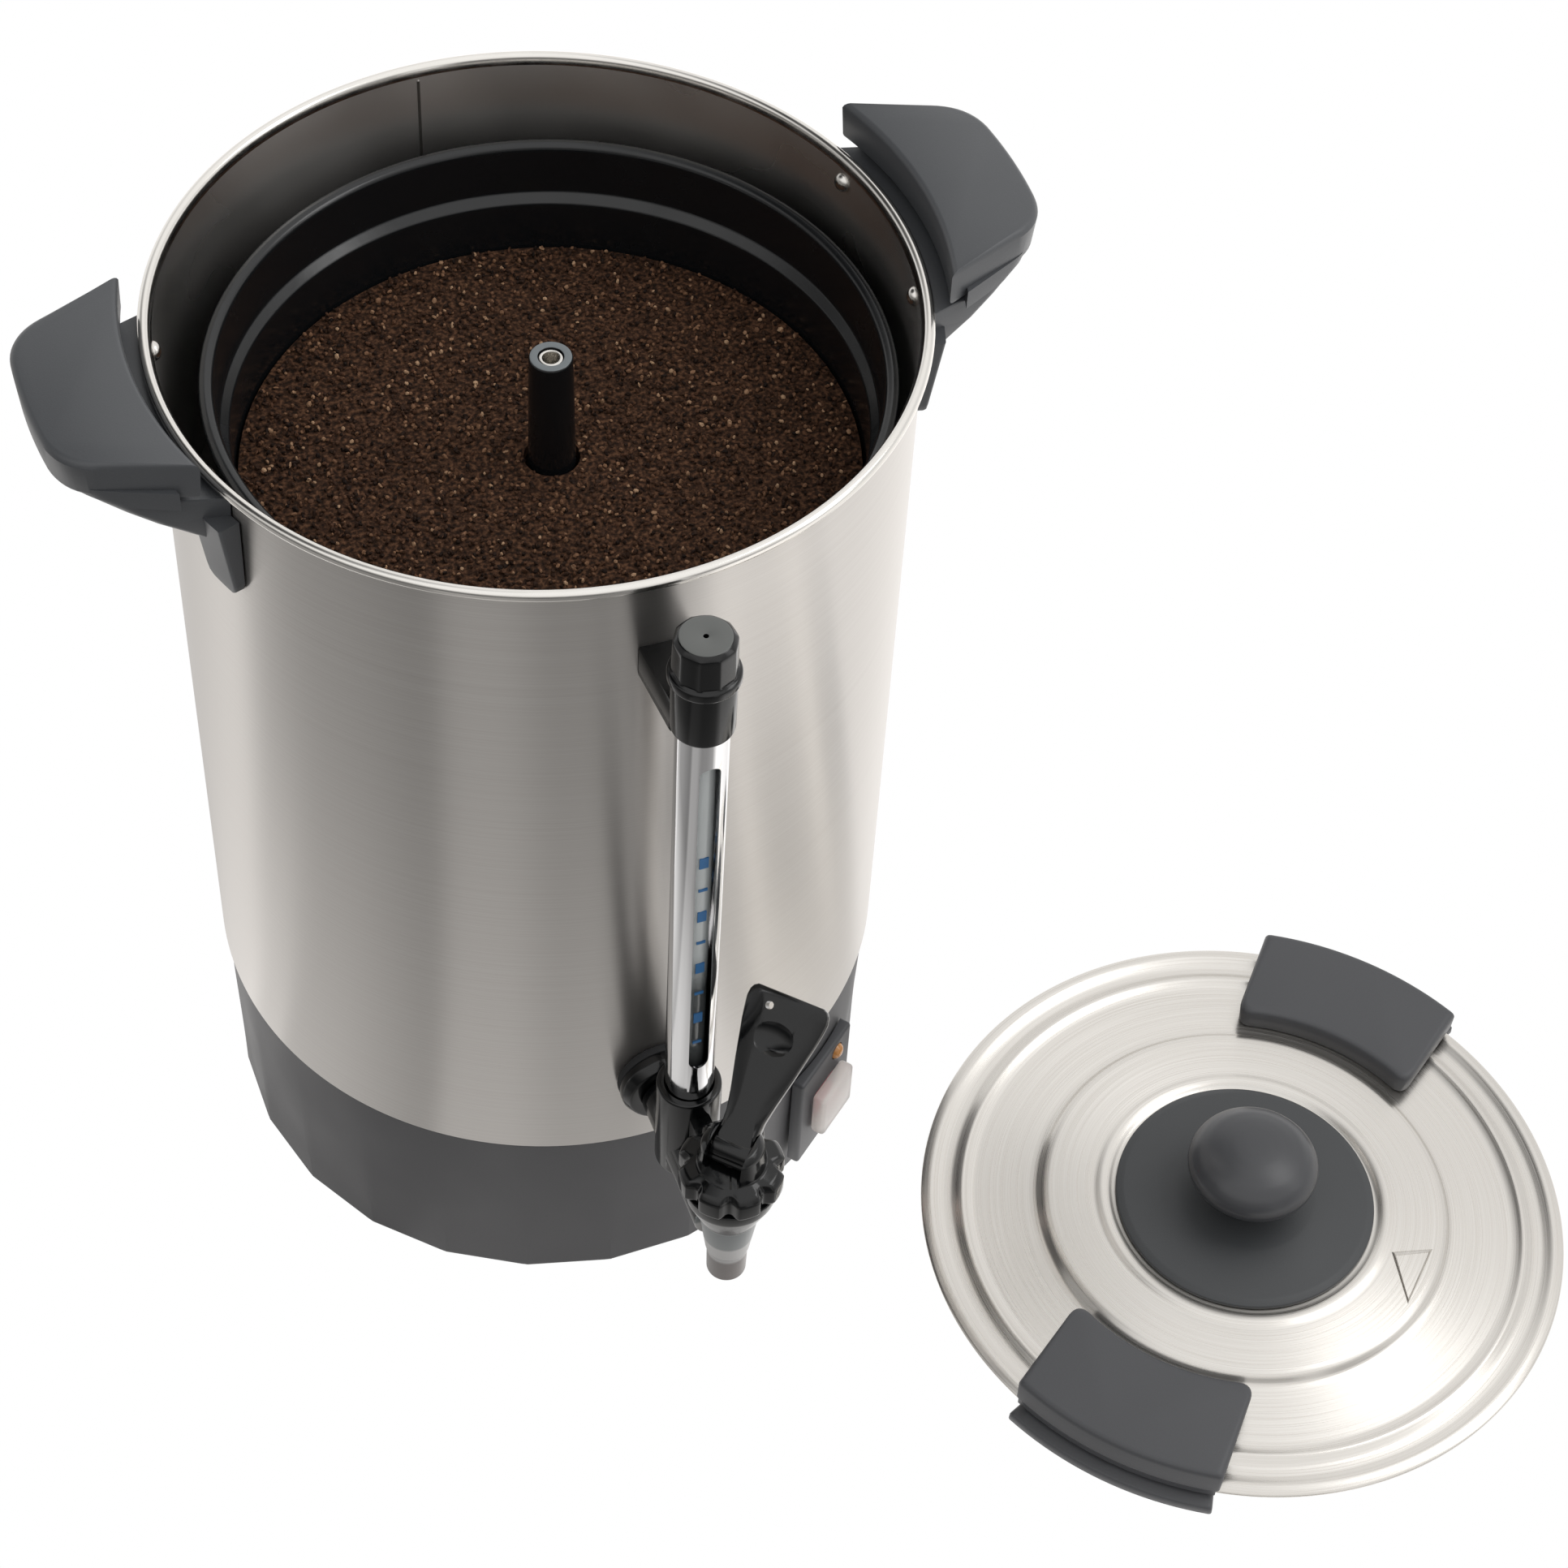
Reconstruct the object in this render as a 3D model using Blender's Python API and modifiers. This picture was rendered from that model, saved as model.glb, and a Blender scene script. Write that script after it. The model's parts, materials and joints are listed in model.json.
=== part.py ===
"""Electric coffee percolator (coffee urn) with its lid lying beside it.

Metres, +Z up. The origin is on the floor, on the urn's axis. The faucet points to -Y, the handles
to +X and -X. Every named object is one solid sub-part.
"""

import math

import bmesh
import bpy
from mathutils import Matrix, Vector

MM = 0.001

# Driving dimensions
RIM_Z = 347 * MM        # top of the tank's rolled rim
WALL_R = 112 * MM       # outside of the tank wall
WALL_IN = 111 * MM      # inside of the tank wall
SKIRT_Z = 77.5 * MM     # lower edge of the steel
FLOOR_Z = 86 * MM       # tank floor, inside
WELL_R = 26 * MM        # heating well in the tank floor
WELL_Z = 71.2 * MM
BASE_R = 110.6 * MM     # plastic base, round at its top
BASE_CORNER_R = 109.8 * MM
BASE_FACETS = 24
BASE_TURN = math.radians(7.3)   # a corner of the base, from +X
SCREW_CIRCLE = 102.2 * MM    # base plate screws
SCREW_TURN = math.radians(92)
HANDLE_TURN = math.radians(1.5)     # handles sit slightly round from square to the faucet
RIVET_ANGLE = math.radians(14)
RIVET_Z = RIM_Z - 8 * MM
BASKET_OFFSET = Vector((3.1, -1.2, 0)) * MM   # the pump stands off centre by its play in the well
GAUGE_Y = -139.5 * MM
SHANK_Z = 113 * MM
FAUCET_Y = -176.5 * MM
LEVER_PIN_Z = 157 * MM
LEVER_TURN = math.radians(44)       # azimuth that the lever leans towards
LEVER_LEAN = math.radians(53)       # from upright, closed
SWITCH_TURN = math.radians(-51.5)
SWITCH_Z = 33.5 * MM
SWITCH_FACE = 114 * MM              # switch panel's front plane, from the axis
LID_CENTRE = Vector((199.6, -166.1, 0)) * MM
LID_TURN = math.radians(41.3)       # azimuth of the lid's tabs
FINE = 48               # steps of the large round pieces
ROUND = 36
MEDIUM = 20
SMALL = 10


for old in list(bpy.data.objects):
    bpy.data.objects.remove(old, do_unlink=True)

PARTS = bpy.data.collections.new("coffee_percolator")
CUTTERS = bpy.data.collections.new("cutters")
bpy.context.scene.collection.children.link(PARTS)
bpy.context.scene.collection.children.link(CUTTERS)


def material(name, colour, roughness, metallic=0.0, alpha=1.0):
    mat = bpy.data.materials.new(name)
    mat.use_nodes = True
    shader = mat.node_tree.nodes["Principled BSDF"]
    shader.inputs["Base Color"].default_value = (*colour, 1)
    shader.inputs["Roughness"].default_value = roughness
    shader.inputs["Metallic"].default_value = metallic
    shader.inputs["Alpha"].default_value = alpha
    mat.diffuse_color = (*colour, alpha)
    return mat


STEEL = material("brushed_steel", (0.55, 0.53, 0.50), 0.3, 1.0)
CHROME = material("chrome", (0.8, 0.8, 0.8), 0.08, 1.0)
CHARCOAL = material("charcoal_plastic", (0.09, 0.09, 0.095), 0.55)
BLACK = material("gloss_black_plastic", (0.015, 0.015, 0.017), 0.15)
DARK = material("dark_basket", (0.03, 0.032, 0.035), 0.25)
SMOKE = material("smoke_grey_plastic", (0.35, 0.35, 0.36), 0.35)
RUBBER = material("black_rubber", (0.02, 0.02, 0.02), 0.8)
GLASS = material("gauge_glass", (0.9, 0.95, 0.95), 0.02, 0.0, 0.3)
RED = material("red_rocker", (0.6, 0.02, 0.03), 0.3)
AMBER = material("amber_lens", (0.8, 0.35, 0.05), 0.2)
CLEAR = material("clear_cover", (0.9, 0.9, 0.9), 0.15, 0.0, 0.35)
COFFEE = material("ground_coffee", (0.05, 0.025, 0.015), 0.9)
BRASS = material("brass", (0.6, 0.42, 0.18), 0.35, 1.0)


def place(obj, mat, collection=PARTS):
    collection.objects.link(obj)
    if mat is not None:
        obj.data.materials.append(mat)
    if collection is CUTTERS:
        obj.hide_render = True
        obj.display_type = "WIRE"
    return obj


def from_bmesh(name, mesh_data, mat, collection=PARTS, smooth=True):
    bmesh.ops.recalc_face_normals(mesh_data, faces=mesh_data.faces)
    mesh = bpy.data.meshes.new(name)
    mesh_data.to_mesh(mesh)
    mesh_data.free()
    if smooth:
        mesh.shade_smooth()
        mesh.set_sharp_from_angle(angle=math.radians(35))
    return place(bpy.data.objects.new(name, mesh), mat, collection)


def turned(name, profile, mat, steps=MEDIUM, at=(0, 0, 0), turn=None, ring=False, collection=PARTS):
    """Turn a profile of (radius, height) in mm about Z. A ring's profile is closed; any other
    starts on the axis at its top and ends on the axis at its bottom."""
    mesh = bpy.data.meshes.new(name)
    points = [(r * MM, 0, z * MM) for r, z in profile]
    edges = [(i, i + 1) for i in range(len(points) - 1)]
    if ring:
        edges.append((len(points) - 1, 0))
    mesh.from_pydata(points, edges, [])
    obj = place(bpy.data.objects.new(name, mesh), mat, collection)
    obj.location = at
    if turn is not None:
        obj.rotation_euler = turn
    screw = obj.modifiers.new("turn", "SCREW")
    screw.axis = "Z"
    screw.steps = steps
    screw.render_steps = steps
    screw.use_merge_vertices = True
    screw.merge_threshold = 0.00001
    screw.use_smooth_shade = True
    return obj


def ring_profile(r_in, r_out, z_low, z_high):
    """Square section of a washer or sleeve, outer side running down."""
    return [(r_out, z_high), (r_out, z_low), (r_in, z_low), (r_in, z_high)]


def disc_profile(r, z_low, z_high, edge=0.0):
    """Plain disc with an optional chamfer on both rims."""
    if edge == 0:
        return [(0, z_high), (r, z_high), (r, z_low), (0, z_low)]
    return [(0, z_high), (r - edge, z_high), (r, z_high - edge), (r, z_low + edge), (r - edge, z_low), (0, z_low)]


def block(name, size, mat, at=(0, 0, 0), turn=0.0, bevel=0.0, collection=PARTS, segments=2):
    """Box of the given size in mm, centred on `at`, turned about Z."""
    data = bmesh.new()
    bmesh.ops.create_cube(data, size=1)
    bmesh.ops.scale(data, vec=Vector(size) * MM, verts=data.verts)
    obj = from_bmesh(name, data, mat, collection, smooth=False)
    obj.location = at
    obj.rotation_euler = (0, 0, turn)
    if bevel:
        mod = obj.modifiers.new("edges", "BEVEL")
        mod.width = bevel * MM
        mod.segments = segments
        mod.limit_method = "ANGLE"
    return obj


def cut(target, cutter):
    mod = target.modifiers.new("cut_" + cutter.name, "BOOLEAN")
    mod.operation = "DIFFERENCE"
    mod.object = cutter
    mod.solver = "EXACT"


def join(target, other):
    mod = target.modifiers.new("join_" + other.name, "BOOLEAN")
    mod.operation = "UNION"
    mod.object = other
    mod.solver = "EXACT"


def along(direction):
    """Rotation that turns +Z to the direction."""
    return Vector(direction).to_track_quat("Z", "Y").to_euler()


def polar(radius, angle, z=0.0):
    return Vector((radius * math.cos(angle), radius * math.sin(angle), z))


def loft(name, levels, mat, collection=PARTS):
    """Solid through closed outlines (lists of (x, y) in metres) at rising heights."""
    data = bmesh.new()
    rings = [[data.verts.new((x, y, z)) for x, y in outline] for z, outline in levels]
    for low, high in zip(rings, rings[1:]):
        for i in range(len(low)):
            j = (i + 1) % len(low)
            data.faces.new((low[i], low[j], high[j], high[i]))
    data.faces.new(rings[0][::-1])
    data.faces.new(rings[-1])
    return from_bmesh(name, data, mat, collection)


def sector(r_in, r_out, half_in, half_out, corner=0.0, arc_points=7, corner_points=3):
    """Outline of a ring sector about +X in metres and radians, its outer corners rounded."""
    points = []
    for i in range(arc_points):
        angle = half_in - 2 * half_in * i / (arc_points - 1)
        points.append(polar(r_in, angle).xy)
    side = []
    if corner:
        corner_at = polar(r_out, -half_out).xy
        before = points[-1]
        after = polar(r_out, 0).xy
        start = corner_at + (before - corner_at).normalized() * corner
        end_angle = -half_out + corner / r_out
        end = polar(r_out, end_angle).xy
        for i in range(corner_points + 1):
            t = i / corner_points
            side.append(start.lerp(corner_at, t).lerp(corner_at.lerp(end, t), t))
        outer_half = -end_angle
    else:
        side.append(polar(r_out, -half_out).xy)
        outer_half = half_out
    outer = [polar(r_out, -outer_half + 2 * outer_half * i / 4).xy for i in range(1, 4)]
    mirrored = [Vector((p.x, -p.y)) for p in reversed(side)]
    return [tuple(p) for p in points + side + outer + mirrored]


# ---------------------------------------------------------------- tank
def tank():
    """Steel wall, rolled and welded, with a rolled rim and a skirt; in it a pressed floor with the
    heating well and a welding flange turned up at its edge."""
    well, floor = WELL_R / MM, FLOOR_Z / MM
    r_in, r_out, rim = WALL_IN / MM, WALL_R / MM, RIM_Z / MM
    well_z = WELL_Z / MM
    roll = [(113.3 + 1.8 * math.cos(math.radians(a)), rim - 1.8 + 1.8 * math.sin(math.radians(a)))
            for a in (155, 90, 35, -20, -80)]
    profile = [(r_in, SKIRT_Z / MM), (r_in, rim - 3.6)] + roll + [(r_out, rim - 4.4), (r_out, SKIRT_Z / MM)]
    shell = turned("tank_wall", profile, STEEL, FINE, ring=True)
    hole = turned("cut_shank_hole", disc_profile(8.0, -12, 12), None, MEDIUM,
                  (0, -WALL_IN, SHANK_Z), (math.radians(90), 0, 0), collection=CUTTERS)
    cut(shell, hole)
    hole = turned("cut_bracket_hole", disc_profile(2.0, -8, 8), None, SMALL,
                  (0, -WALL_IN, 313 * MM), (math.radians(90), 0, 0), collection=CUTTERS)
    cut(shell, hole)
    for side, angle in handle_rivet_angles():
        hole = turned("cut_rivet_" + side, disc_profile(1.9, -8, 8), None, SMALL,
                      polar(WALL_IN, angle, RIVET_Z), along(polar(1, angle)), collection=CUTTERS)
        cut(shell, hole)
    edge = r_in - 0.04
    pan = [(0, well_z), (well, well_z), (well, floor), (edge - 2.6, floor), (edge - 1, floor + 1.6)]
    pan += [(edge - 1, floor + 4.4), (edge, floor + 4.4), (edge, floor + 0.6), (edge - 1.6, floor - 1)]
    pan += [(well + 1, floor - 1), (well + 1, well_z - 1), (0, well_z - 1)]
    turned("tank_floor", pan, STEEL, FINE)


def handle_rivet_angles():
    spots = []
    for side, base in (("right", HANDLE_TURN), ("left", HANDLE_TURN + math.pi)):
        spots.append((side + "_front", base - RIVET_ANGLE if side == "right" else base + RIVET_ANGLE))
        spots.append((side + "_back", base + RIVET_ANGLE if side == "right" else base - RIVET_ANGLE))
    return spots


# ---------------------------------------------------------------- base
def base_outline(z_mix):
    """Base section in metres: round where z_mix is 0, a flat-sided polygon where it is 1."""
    points = []
    count = BASE_FACETS * 2
    facet = 2 * math.pi / BASE_FACETS
    for i in range(count):
        angle = 2 * math.pi * i / count + BASE_TURN
        within = (i % 2) * facet / 2 - facet / 2
        flat = BASE_CORNER_R * math.cos(facet / 2) / math.cos(within)
        radius = BASE_R * (1 - z_mix) + flat * z_mix
        points.append(polar(radius, angle).xy)
    return points


def base_ring():
    """Moulded plastic base: round at the steel, flat-sided at the floor, hollow, with a ledge."""
    data = bmesh.new()
    count = BASE_FACETS * 2

    def loop(points, z):
        return [data.verts.new((p[0], p[1], z * MM)) for p in points]

    def circle(radius):
        return [polar(radius * MM, 2 * math.pi * i / count + BASE_TURN).xy for i in range(count)]

    rings = [loop(circle(110.6), 83.6), loop(base_outline(0), 70)]
    rings += [loop(base_outline(m), z) for m, z in ((0.5, 44), (1, 14), (1, 0))]
    rings += [loop(circle(r), z) for r, z in ((105.7, 0), (105.7, 2.9), (99, 2.9), (99, 5.4), (107.2, 5.4), (107.2, 83.6))]
    for upper, lower in zip(rings, rings[1:] + rings[:1]):
        for i in range(count):
            j = (i + 1) % count
            data.faces.new((upper[i], lower[i], lower[j], upper[j]))
    ring = from_bmesh("base_ring", data, CHARCOAL)
    window = block("cut_switch_window", (14, 16, 18), None, polar(109 * MM, SWITCH_TURN, SWITCH_Z),
                   SWITCH_TURN, collection=CUTTERS)
    cut(ring, window)
    gland_hole = turned("cut_gland_hole", disc_profile(7.3, -12, 12), None, MEDIUM,
                        (0, 109 * MM, 30 * MM), (math.radians(90), 0, 0), collection=CUTTERS)
    cut(ring, gland_hole)
    for i in range(3):
        hole = turned("cut_pilot_%d" % i, disc_profile(1.8, 2, 7), None, SMALL,
                      polar(SCREW_CIRCLE, SCREW_TURN + math.radians(120 * i)), collection=CUTTERS)
        cut(ring, hole)


def base_plate():
    """Bottom cover, flush with the foot of the base ring, and its three screws."""
    plate = turned("base_plate", disc_profile(105.3, 0, 2.4), CHARCOAL, 40)
    for i in range(3):
        at = polar(SCREW_CIRCLE, SCREW_TURN + math.radians(120 * i))
        hole = turned("cut_plate_%d" % i, [(0, 4), (1.8, 4), (1.8, 1.4), (2.9, 0.8), (2.9, -1), (0, -1)], None,
                      SMALL, at, collection=CUTTERS)
        cut(plate, hole)
        screw = [(0, 6.4), (1.2, 6.4), (1.4, 6.0), (1.4, 1.2), (2.5, 0.8), (2.5, 0.3), (0, 0.3)]
        turned("base_screw_%d" % (i + 1), screw, STEEL, SMALL, at)


def cord_gland():
    """Bush in the back of the base that the supply lead goes through."""
    profile = [(8.6, 3.4), (9.4, 2.6), (9.4, 0.4), (7.0, 0.4), (7.0, -6.0), (4.6, -6.0), (4.6, 3.4)]
    turned("cord_gland", profile, BLACK, 24, (0, 110.5 * MM, 30 * MM), (math.radians(-90), 0, 0), ring=True)


def electrics():
    """Heaters and controls between the tank floor and the base plate."""
    curve = bpy.data.curves.new("warming_element", "CURVE")
    curve.dimensions = "3D"
    spline = curve.splines.new("POLY")
    count = 23
    spline.points.add(count - 1)
    for i in range(count):
        spot = polar(56 * MM, math.radians(15 + 330 * i / (count - 1)))
        spline.points[i].co = (spot.x, spot.y, 80.4 * MM, 1)
    curve.bevel_depth = 4 * MM
    curve.bevel_resolution = 1
    curve.use_fill_caps = True
    place(bpy.data.objects.new("warming_element", curve), STEEL)
    turned("pump_heater", ring_profile(27.4, 34, 70.4, 83), CHARCOAL, MEDIUM, ring=True)
    turned("thermostat", [(0, 69.8), (11, 69.8), (11, 66), (8, 65.4), (8, 58), (0, 58)], BLACK, 24)
    turned("thermal_fuse", disc_profile(2.4, -9, 9, 0.6), STEEL, SMALL, (22 * MM, 0, 66.8 * MM),
           (math.radians(90), 0, 0))
    block("terminal_block", (34, 18, 12), BLACK, (-40 * MM, 62 * MM, 9 * MM), math.radians(30), 1)


# ---------------------------------------------------------------- switch
def switch():
    """Panel, rocker under a clear cover, switch body behind the wall, and the indicator lens."""
    normal = polar(1, SWITCH_TURN)
    across = Vector((-normal.y, normal.x, 0))
    centre = normal * SWITCH_FACE + Vector((0, 0, SWITCH_Z))
    panel = block("switch_panel", (9, 33, 46), CHARCOAL, centre - normal * 4.5 * MM, SWITCH_TURN, 1.2)
    hollow = turned("cut_panel_back", disc_profile(110.95, -80, 120), None, 96, collection=CUTTERS)
    cut(panel, hollow)
    cut(panel, block("cut_rocker_hole", (24, 14.4, 16.4), None, centre, SWITCH_TURN, collection=CUTTERS))
    lens_at = centre + across * 7 * MM + Vector((0, 0, 17.2 * MM))
    cut(panel, turned("cut_lens_hole", disc_profile(3.3, -8, 8), None, SMALL, lens_at, along(normal),
                      collection=CUTTERS))
    lens = [(0, 1.9), (1.4, 1.7), (2.4, 1.1), (3.0, 0), (3.0, -2.3), (0, -2.3)]
    turned("indicator_lens", lens, AMBER, SMALL, lens_at, along(normal))
    cover = block("switch_cover", (5.4, 20, 20), CLEAR, centre + normal * 3.0 * MM, SWITCH_TURN, 1.4)
    cut(cover, block("cut_cover", (5.4, 17.6, 17.6), None, centre + normal * 1.4 * MM, SWITCH_TURN,
                     collection=CUTTERS))
    block("switch_body", (14, 13.4, 15.4), BLACK, normal * 98 * MM + Vector((0, 0, SWITCH_Z)), SWITCH_TURN, 0.8)
    rocker_pivot = normal * 112 * MM + Vector((0, 0, SWITCH_Z))
    data = bmesh.new()
    side = [(-3.4, -5.2), (2.1, -7.2), (1.0, 0), (2.1, 7.2), (-3.4, 5.2)]
    half = 6.7
    near = [data.verts.new((x * MM, -half * MM, z * MM)) for x, z in side]
    far = [data.verts.new((x * MM, half * MM, z * MM)) for x, z in side]
    data.faces.new(near)
    data.faces.new(far[::-1])
    for i in range(len(side)):
        j = (i + 1) % len(side)
        data.faces.new((near[i], far[i], far[j], near[j]))
    rocker = from_bmesh("switch_rocker", data, RED, smooth=False)
    rocker.rotation_euler = (Matrix.Rotation(SWITCH_TURN, 4, "Z") @ Matrix.Rotation(math.radians(-7), 4, "Y")).to_euler()
    rocker.location = rocker_pivot


# ---------------------------------------------------------------- handles
def handle(name, turn):
    """Moulded handle: flat top plate over the catch slot, hollow-faced wing, saddle and two legs."""
    top = RIM_Z + 11 * MM
    deg = math.radians
    plate = loft("cut_" + name + "_plate", [
        (top - 13.0 * MM, sector(119.6 * MM, 150 * MM, deg(19.4), deg(10.4), 11 * MM)),
        (top - 1.2 * MM, sector(119.4 * MM, 150.8 * MM, deg(19.8), deg(10.6), 11 * MM)),
        (top, sector(120.6 * MM, 149.6 * MM, deg(19.2), deg(10.2), 10.5 * MM)),
    ], None, CUTTERS)
    wing = loft(name, [
        (RIM_Z - 23 * MM, sector(112.6 * MM, 117.5 * MM, deg(20), deg(18), 2 * MM)),
        (RIM_Z - 14 * MM, sector(112.6 * MM, 130 * MM, deg(20.6), deg(15.5), 5 * MM)),
        (RIM_Z - 4.6 * MM, sector(112.6 * MM, 143 * MM, deg(21), deg(12.4), 8 * MM)),
    ], CHARCOAL)
    neck = loft("cut_" + name + "_neck", [
        (RIM_Z - 5.4 * MM, sector(125 * MM, 142.2 * MM, deg(18.4), deg(12.3), 8 * MM)),
        (RIM_Z + 1.0 * MM, sector(125 * MM, 148.6 * MM, deg(18.4), deg(10.6), 10 * MM)),
    ], None, CUTTERS)
    join(wing, neck)
    join(wing, plate)
    for front in (-1, 1):
        leg = loft("cut_%s_leg%d" % (name, front), [
            (RIM_Z - 42 * MM, sector(112.6 * MM, 114.8 * MM, deg(2.5), deg(2.4), 1 * MM)),
            (RIM_Z - 38 * MM, sector(112.6 * MM, 115.6 * MM, deg(3.6), deg(3.4), 1 * MM)),
            (RIM_Z - 12 * MM, sector(112.6 * MM, 119 * MM, deg(3.9), deg(3.6), 1 * MM)),
        ], None, CUTTERS)
        leg.rotation_euler = (0, 0, turn + front * deg(18.6))
        join(wing, leg)
    for piece in (plate, wing, neck):
        piece.rotation_euler = (0, 0, turn)
    for front in (-1, 1):
        angle = turn + front * RIVET_ANGLE
        hole = turned("cut_%s_rivet%d" % (name, front), disc_profile(1.9, -20, 4.6), None, SMALL,
                      polar(114.4 * MM, angle, RIVET_Z), along(polar(1, angle)), collection=CUTTERS)
        cut(wing, hole)


def rivets():
    """Domed rivets: heads inside the tank, shanks through the wall into the handles."""
    profile = [(0, 7.2), (1.6, 7.2), (1.6, -0.4), (3.0, -0.4), (2.4, -1.9), (0, -2.7)]
    for name, angle in handle_rivet_angles():
        turned("rivet_" + name, profile, STEEL, SMALL, polar(WALL_IN, angle, RIVET_Z), along(polar(1, angle)))


# ---------------------------------------------------------------- gauge
def gauge():
    """Sight glass in a slotted chrome shield between a wall bracket and the faucet's socket."""
    at = (0, GAUGE_Y, 0)
    neck = [(9.2, 333), (9.2, 311.4), (8.6, 310.6), (8.0, 310.6), (8.0, 320), (5.2, 320), (5.2, 333)]
    bracket = turned("gauge_bracket", neck, BLACK, MEDIUM, at, ring=True)
    arm_out = [(-8.9, -112.4), (8.9, -112.4), (7.6, -133.5), (-7.6, -133.5)]
    arm = loft("cut_bracket_arm", [
        (307.5 * MM, [(x * MM, y * MM) for x, y in arm_out[::-1]]),
        (319.5 * MM, [(x * MM, y * MM) for x, y in arm_out[::-1]]),
    ], None, CUTTERS)
    wall = turned("cut_bracket_wall", disc_profile(112.4, 290, 340), None, 96, collection=CUTTERS)
    cut(arm, wall)
    join(bracket, arm)
    bore = turned("cut_bracket_bore", disc_profile(8.0, 300, 320), None, MEDIUM, at, collection=CUTTERS)
    cut(bracket, bore)
    thread = turned("cut_bracket_thread", disc_profile(2.0, -20, 14), None, SMALL,
                    (0, -112 * MM, 313 * MM), (math.radians(90), 0, 0), collection=CUTTERS)
    cut(bracket, thread)
    screw = [(0, 10), (1.7, 10), (1.7, -0.4), (3.4, -0.4), (3.2, -1.4), (2.0, -2.2), (0, -2.4)]
    turned("bracket_screw", screw, STEEL, SMALL, (0, -WALL_IN, 313 * MM), (math.radians(90), 0, 0))
    cap = [(1.1, 350), (7.6, 350), (9.0, 348.8), (9.2, 337.2), (10.4, 336.6), (10.4, 333.6), (5.8, 333.3)]
    cap += [(4.9, 333.3), (4.9, 323), (1.1, 323)]
    turned("gauge_cap", cap, BLACK, MEDIUM, at, ring=True)
    turned("gauge_seal_top", ring_profile(4.6, 7.6, 316.6, 319.7), RUBBER, SMALL, at, ring=True)
    turned("gauge_glass", ring_profile(3.1, 4.2, 137.2, 319.0), GLASS, SMALL, at, ring=True)
    turned("gauge_seal_bottom", ring_profile(4.6, 7.6, 133.4, 137.6), RUBBER, SMALL, at, ring=True)
    shield = turned("gauge_shield", ring_profile(7.0, 7.7, 138.0, 316.2), CHROME, MEDIUM, at, ring=True)
    for z in (164, 300):
        cut(shield, turned("cut_slot_end_%d" % z, disc_profile(3.2, -9, 9), None, 24,
                           (0, GAUGE_Y - 7.5 * MM, z * MM), (math.radians(90), 0, 0), collection=CUTTERS))
    cut(shield, block("cut_slot", (6.4, 18, 136), None, (0, GAUGE_Y - 7.5 * MM, 232 * MM), collection=CUTTERS))


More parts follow.
